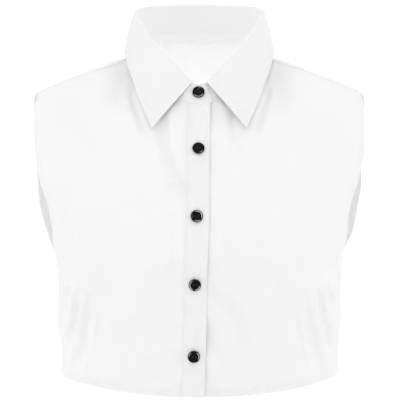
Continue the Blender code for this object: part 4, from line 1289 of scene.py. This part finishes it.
def sewn_button(node, seat, facing, twist):
    """Button and its thread, placed with its face along the cloth's outward direction.

    Its thread runs twice between each two holes over the top, and down to the cloth as a shank.
    """
    axis = facing / np.linalg.norm(facing)
    aside = np.array([1.0, 0.0, 0.0]) - axis * axis[0]
    aside = aside / np.linalg.norm(aside)
    turned = math.radians(twist)
    first = aside * math.cos(turned) + np.cross(axis, aside) * math.sin(turned)
    frame_of = np.stack([first, np.cross(axis, first), axis])
    # How near each row is to the rim's top, where the painted highlight lies
    crest = np.exp(-((button_rows - CREST_TURN) / CREST_SPREAD)**2)
    mesh = lathe_mesh(node + "_disc", button_surface() @ frame_of + seat, crest)
    disc = new_piece(node + "_disc", mesh, BUTTON_FINISH)
    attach(disc, "root")
    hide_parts(node)
    hole = BUTTON_HOLE_SPACING
    level = BUTTON_RINGS[-1].level * BUTTON_HEIGHT + BUTTON_THREAD_LIFT
    starts, ends = [], []
    for strand in (-BUTTON_STRAND, BUTTON_STRAND):
        for x in (-hole, hole):
            starts.append((x + strand, -hole, level))
            ends.append((x + strand, hole, level))
    for x, y in BUTTON_HOLES:
        starts.append((x * hole * 0.5, y * hole * 0.5, SHANK_TOP))
        ends.append((x * hole * 0.5, y * hole * 0.5, SHANK_FOOT))
    starts, ends = np.array(starts) @ frame_of + seat, np.array(ends) @ frame_of + seat
    outward = np.tile(axis, (len(starts), 1)) + np.tile(first, (len(starts), 1)) * 0.3
    points, faces = spindles(starts, ends, outward, BUTTON_THREAD_RADIUS)
    thread = new_piece(node + "_thread", quad_mesh(node + "_thread", points, faces), BLACK_THREAD)
    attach(thread, "root")


top_angle = np.array([math.degrees(math.asin(TOP_BUTTON_X / NECK_FRONT))])
top_low, top_high = neckline(top_angle)[0], stand_top(top_angle)[0]
top_facing = unit(np.cross(np.array([1.0, 0.0, 0.0]), unit(top_high - top_low)))
top_seat = (top_low + TOP_BUTTON_RISE * (top_high - top_low)
            + top_facing * (STAND_LAP + STAND_CLOTH / 2.0 + TOP_BUTTON_SEAT))
top_facing = unit(top_facing + np.array(TOP_BUTTON_TILT))
sewn_button("button_1", top_seat, top_facing, TOP_BUTTON_TWIST)
for place in PLACKET_BUTTONS:
    button_across, button_up = place_on_front(np.array([place.x]), np.array([place.z]))
    button_facing = panel_outward(FRONT, button_across, button_up)[0]
    button_facing = button_facing + np.array([place.tilt_x, 0.0, place.tilt_z])
    button_seat = front_surface(button_across, button_up,
                                np.array([PLACKET_LIFT + BUTTON_SEAT]))[0]
    sewn_button(place.name, button_seat, button_facing, place.twist)

# Studio: a matt pale floor below the hem, an even pale surround, a large soft light in front and
# above, one at each side, and a small one that glints on the buttons. The camera looks at the
# front from a little above, through a long lens.
FLOOR_Z = -620.0
FLOOR_HALF_WIDTH = 30000.0
FLOOR_PALE = (0.98, 0.98, 0.98)
FLOOR_ROUGHNESS = 0.9
CAMERA_TARGET = (0.0007, 0.0, -0.1546)
CAMERA_DISTANCE = 2.6
CAMERA_RISE = 4.0
CAMERA_LENS = 222.9
CAMERA_SENSOR = 36.0
CAMERA_REACH = 200.0
LIGHT_TARGET = (0.0, -0.08, -0.14)
SURROUND_STRENGTH = 1.10
SOFTBOX_POWER = 5.5
CATCH_POWER = 2.6
CATCH_SIZE = 0.12
CATCH_PLACE = (-0.25, -1.75, 1.1)
SIDE_POWER = 5.0
SIDE_PLACE = (2.2, -0.9, 0.2)
SOFTBOX_SIZE = 1.4
SOFTBOX_PLACE = (0.0, -1.75, 1.75)
INSIDE_RADIUS = 0.05
# Small lamps inside the shirt, which show its inner faces as light as white cotton is
InsideLamp = namedtuple("InsideLamp", "name power place")
INSIDE_LAMPS = (
    InsideLamp("neck lamp", 0.215, (0.0, -0.005, -0.090)),
    InsideLamp("armhole lamp", 0.090, (0.0, 0.025, -0.180)),
)

floor_corners = np.array([(-1.0, -1.0), (1.0, -1.0), (1.0, 1.0), (-1.0, 1.0)])
floor_points = np.column_stack([floor_corners * FLOOR_HALF_WIDTH, np.full(4, FLOOR_Z)])
floor = new_piece("studio_floor", quad_mesh("studio_floor", floor_points, np.arange(4)[None]),
                  new_finish("pale floor", FLOOR_PALE, FLOOR_ROUGHNESS)[0])

surround = bpy.data.worlds.new("pale surround")
surround.use_nodes = True
background = surround.node_tree.nodes["Background"]
background.inputs["Color"].default_value = (1.0, 1.0, 1.0, 1.0)
background.inputs["Strength"].default_value = SURROUND_STRENGTH
bpy.context.scene.world = surround
bpy.context.scene.view_settings.view_transform = "Standard"


def aim(thing, place, target):
    """Turn an object at a place so that its own -Z axis points at a target."""
    thing.location = place
    thing.rotation_euler = (Vector(target) - Vector(place)).to_track_quat("-Z", "Y").to_euler()
    bpy.context.scene.collection.objects.link(thing)


for name, power, size, place in (
        ("front softbox", SOFTBOX_POWER, SOFTBOX_SIZE, SOFTBOX_PLACE),
        ("right softbox", SIDE_POWER, SOFTBOX_SIZE, SIDE_PLACE),
        ("left softbox", SIDE_POWER, SOFTBOX_SIZE, (-SIDE_PLACE[0], *SIDE_PLACE[1:])),
        ("catch light", CATCH_POWER, CATCH_SIZE, CATCH_PLACE)):
    softbox_light = bpy.data.lights.new(name, "AREA")
    softbox_light.energy = power
    softbox_light.size = size
    aim(bpy.data.objects.new(name, softbox_light), place, LIGHT_TARGET)
for lamp in INSIDE_LAMPS:
    inside_light = bpy.data.lights.new(lamp.name, "POINT")
    inside_light.energy = lamp.power
    inside_light.shadow_soft_size = INSIDE_RADIUS
    inside = bpy.data.objects.new(lamp.name, inside_light)
    inside.visible_camera = False
    aim(inside, lamp.place, CAMERA_TARGET)

lens = bpy.data.cameras.new("camera")
lens.lens = CAMERA_LENS
lens.sensor_width = CAMERA_SENSOR
lens.clip_end = CAMERA_REACH
camera = bpy.data.objects.new("camera", lens)
rise = math.radians(CAMERA_RISE)
camera_way = Vector((0.0, -math.cos(rise), math.sin(rise)))
aim(camera, Vector(CAMERA_TARGET) + CAMERA_DISTANCE * camera_way, CAMERA_TARGET)
bpy.context.scene.camera = camera
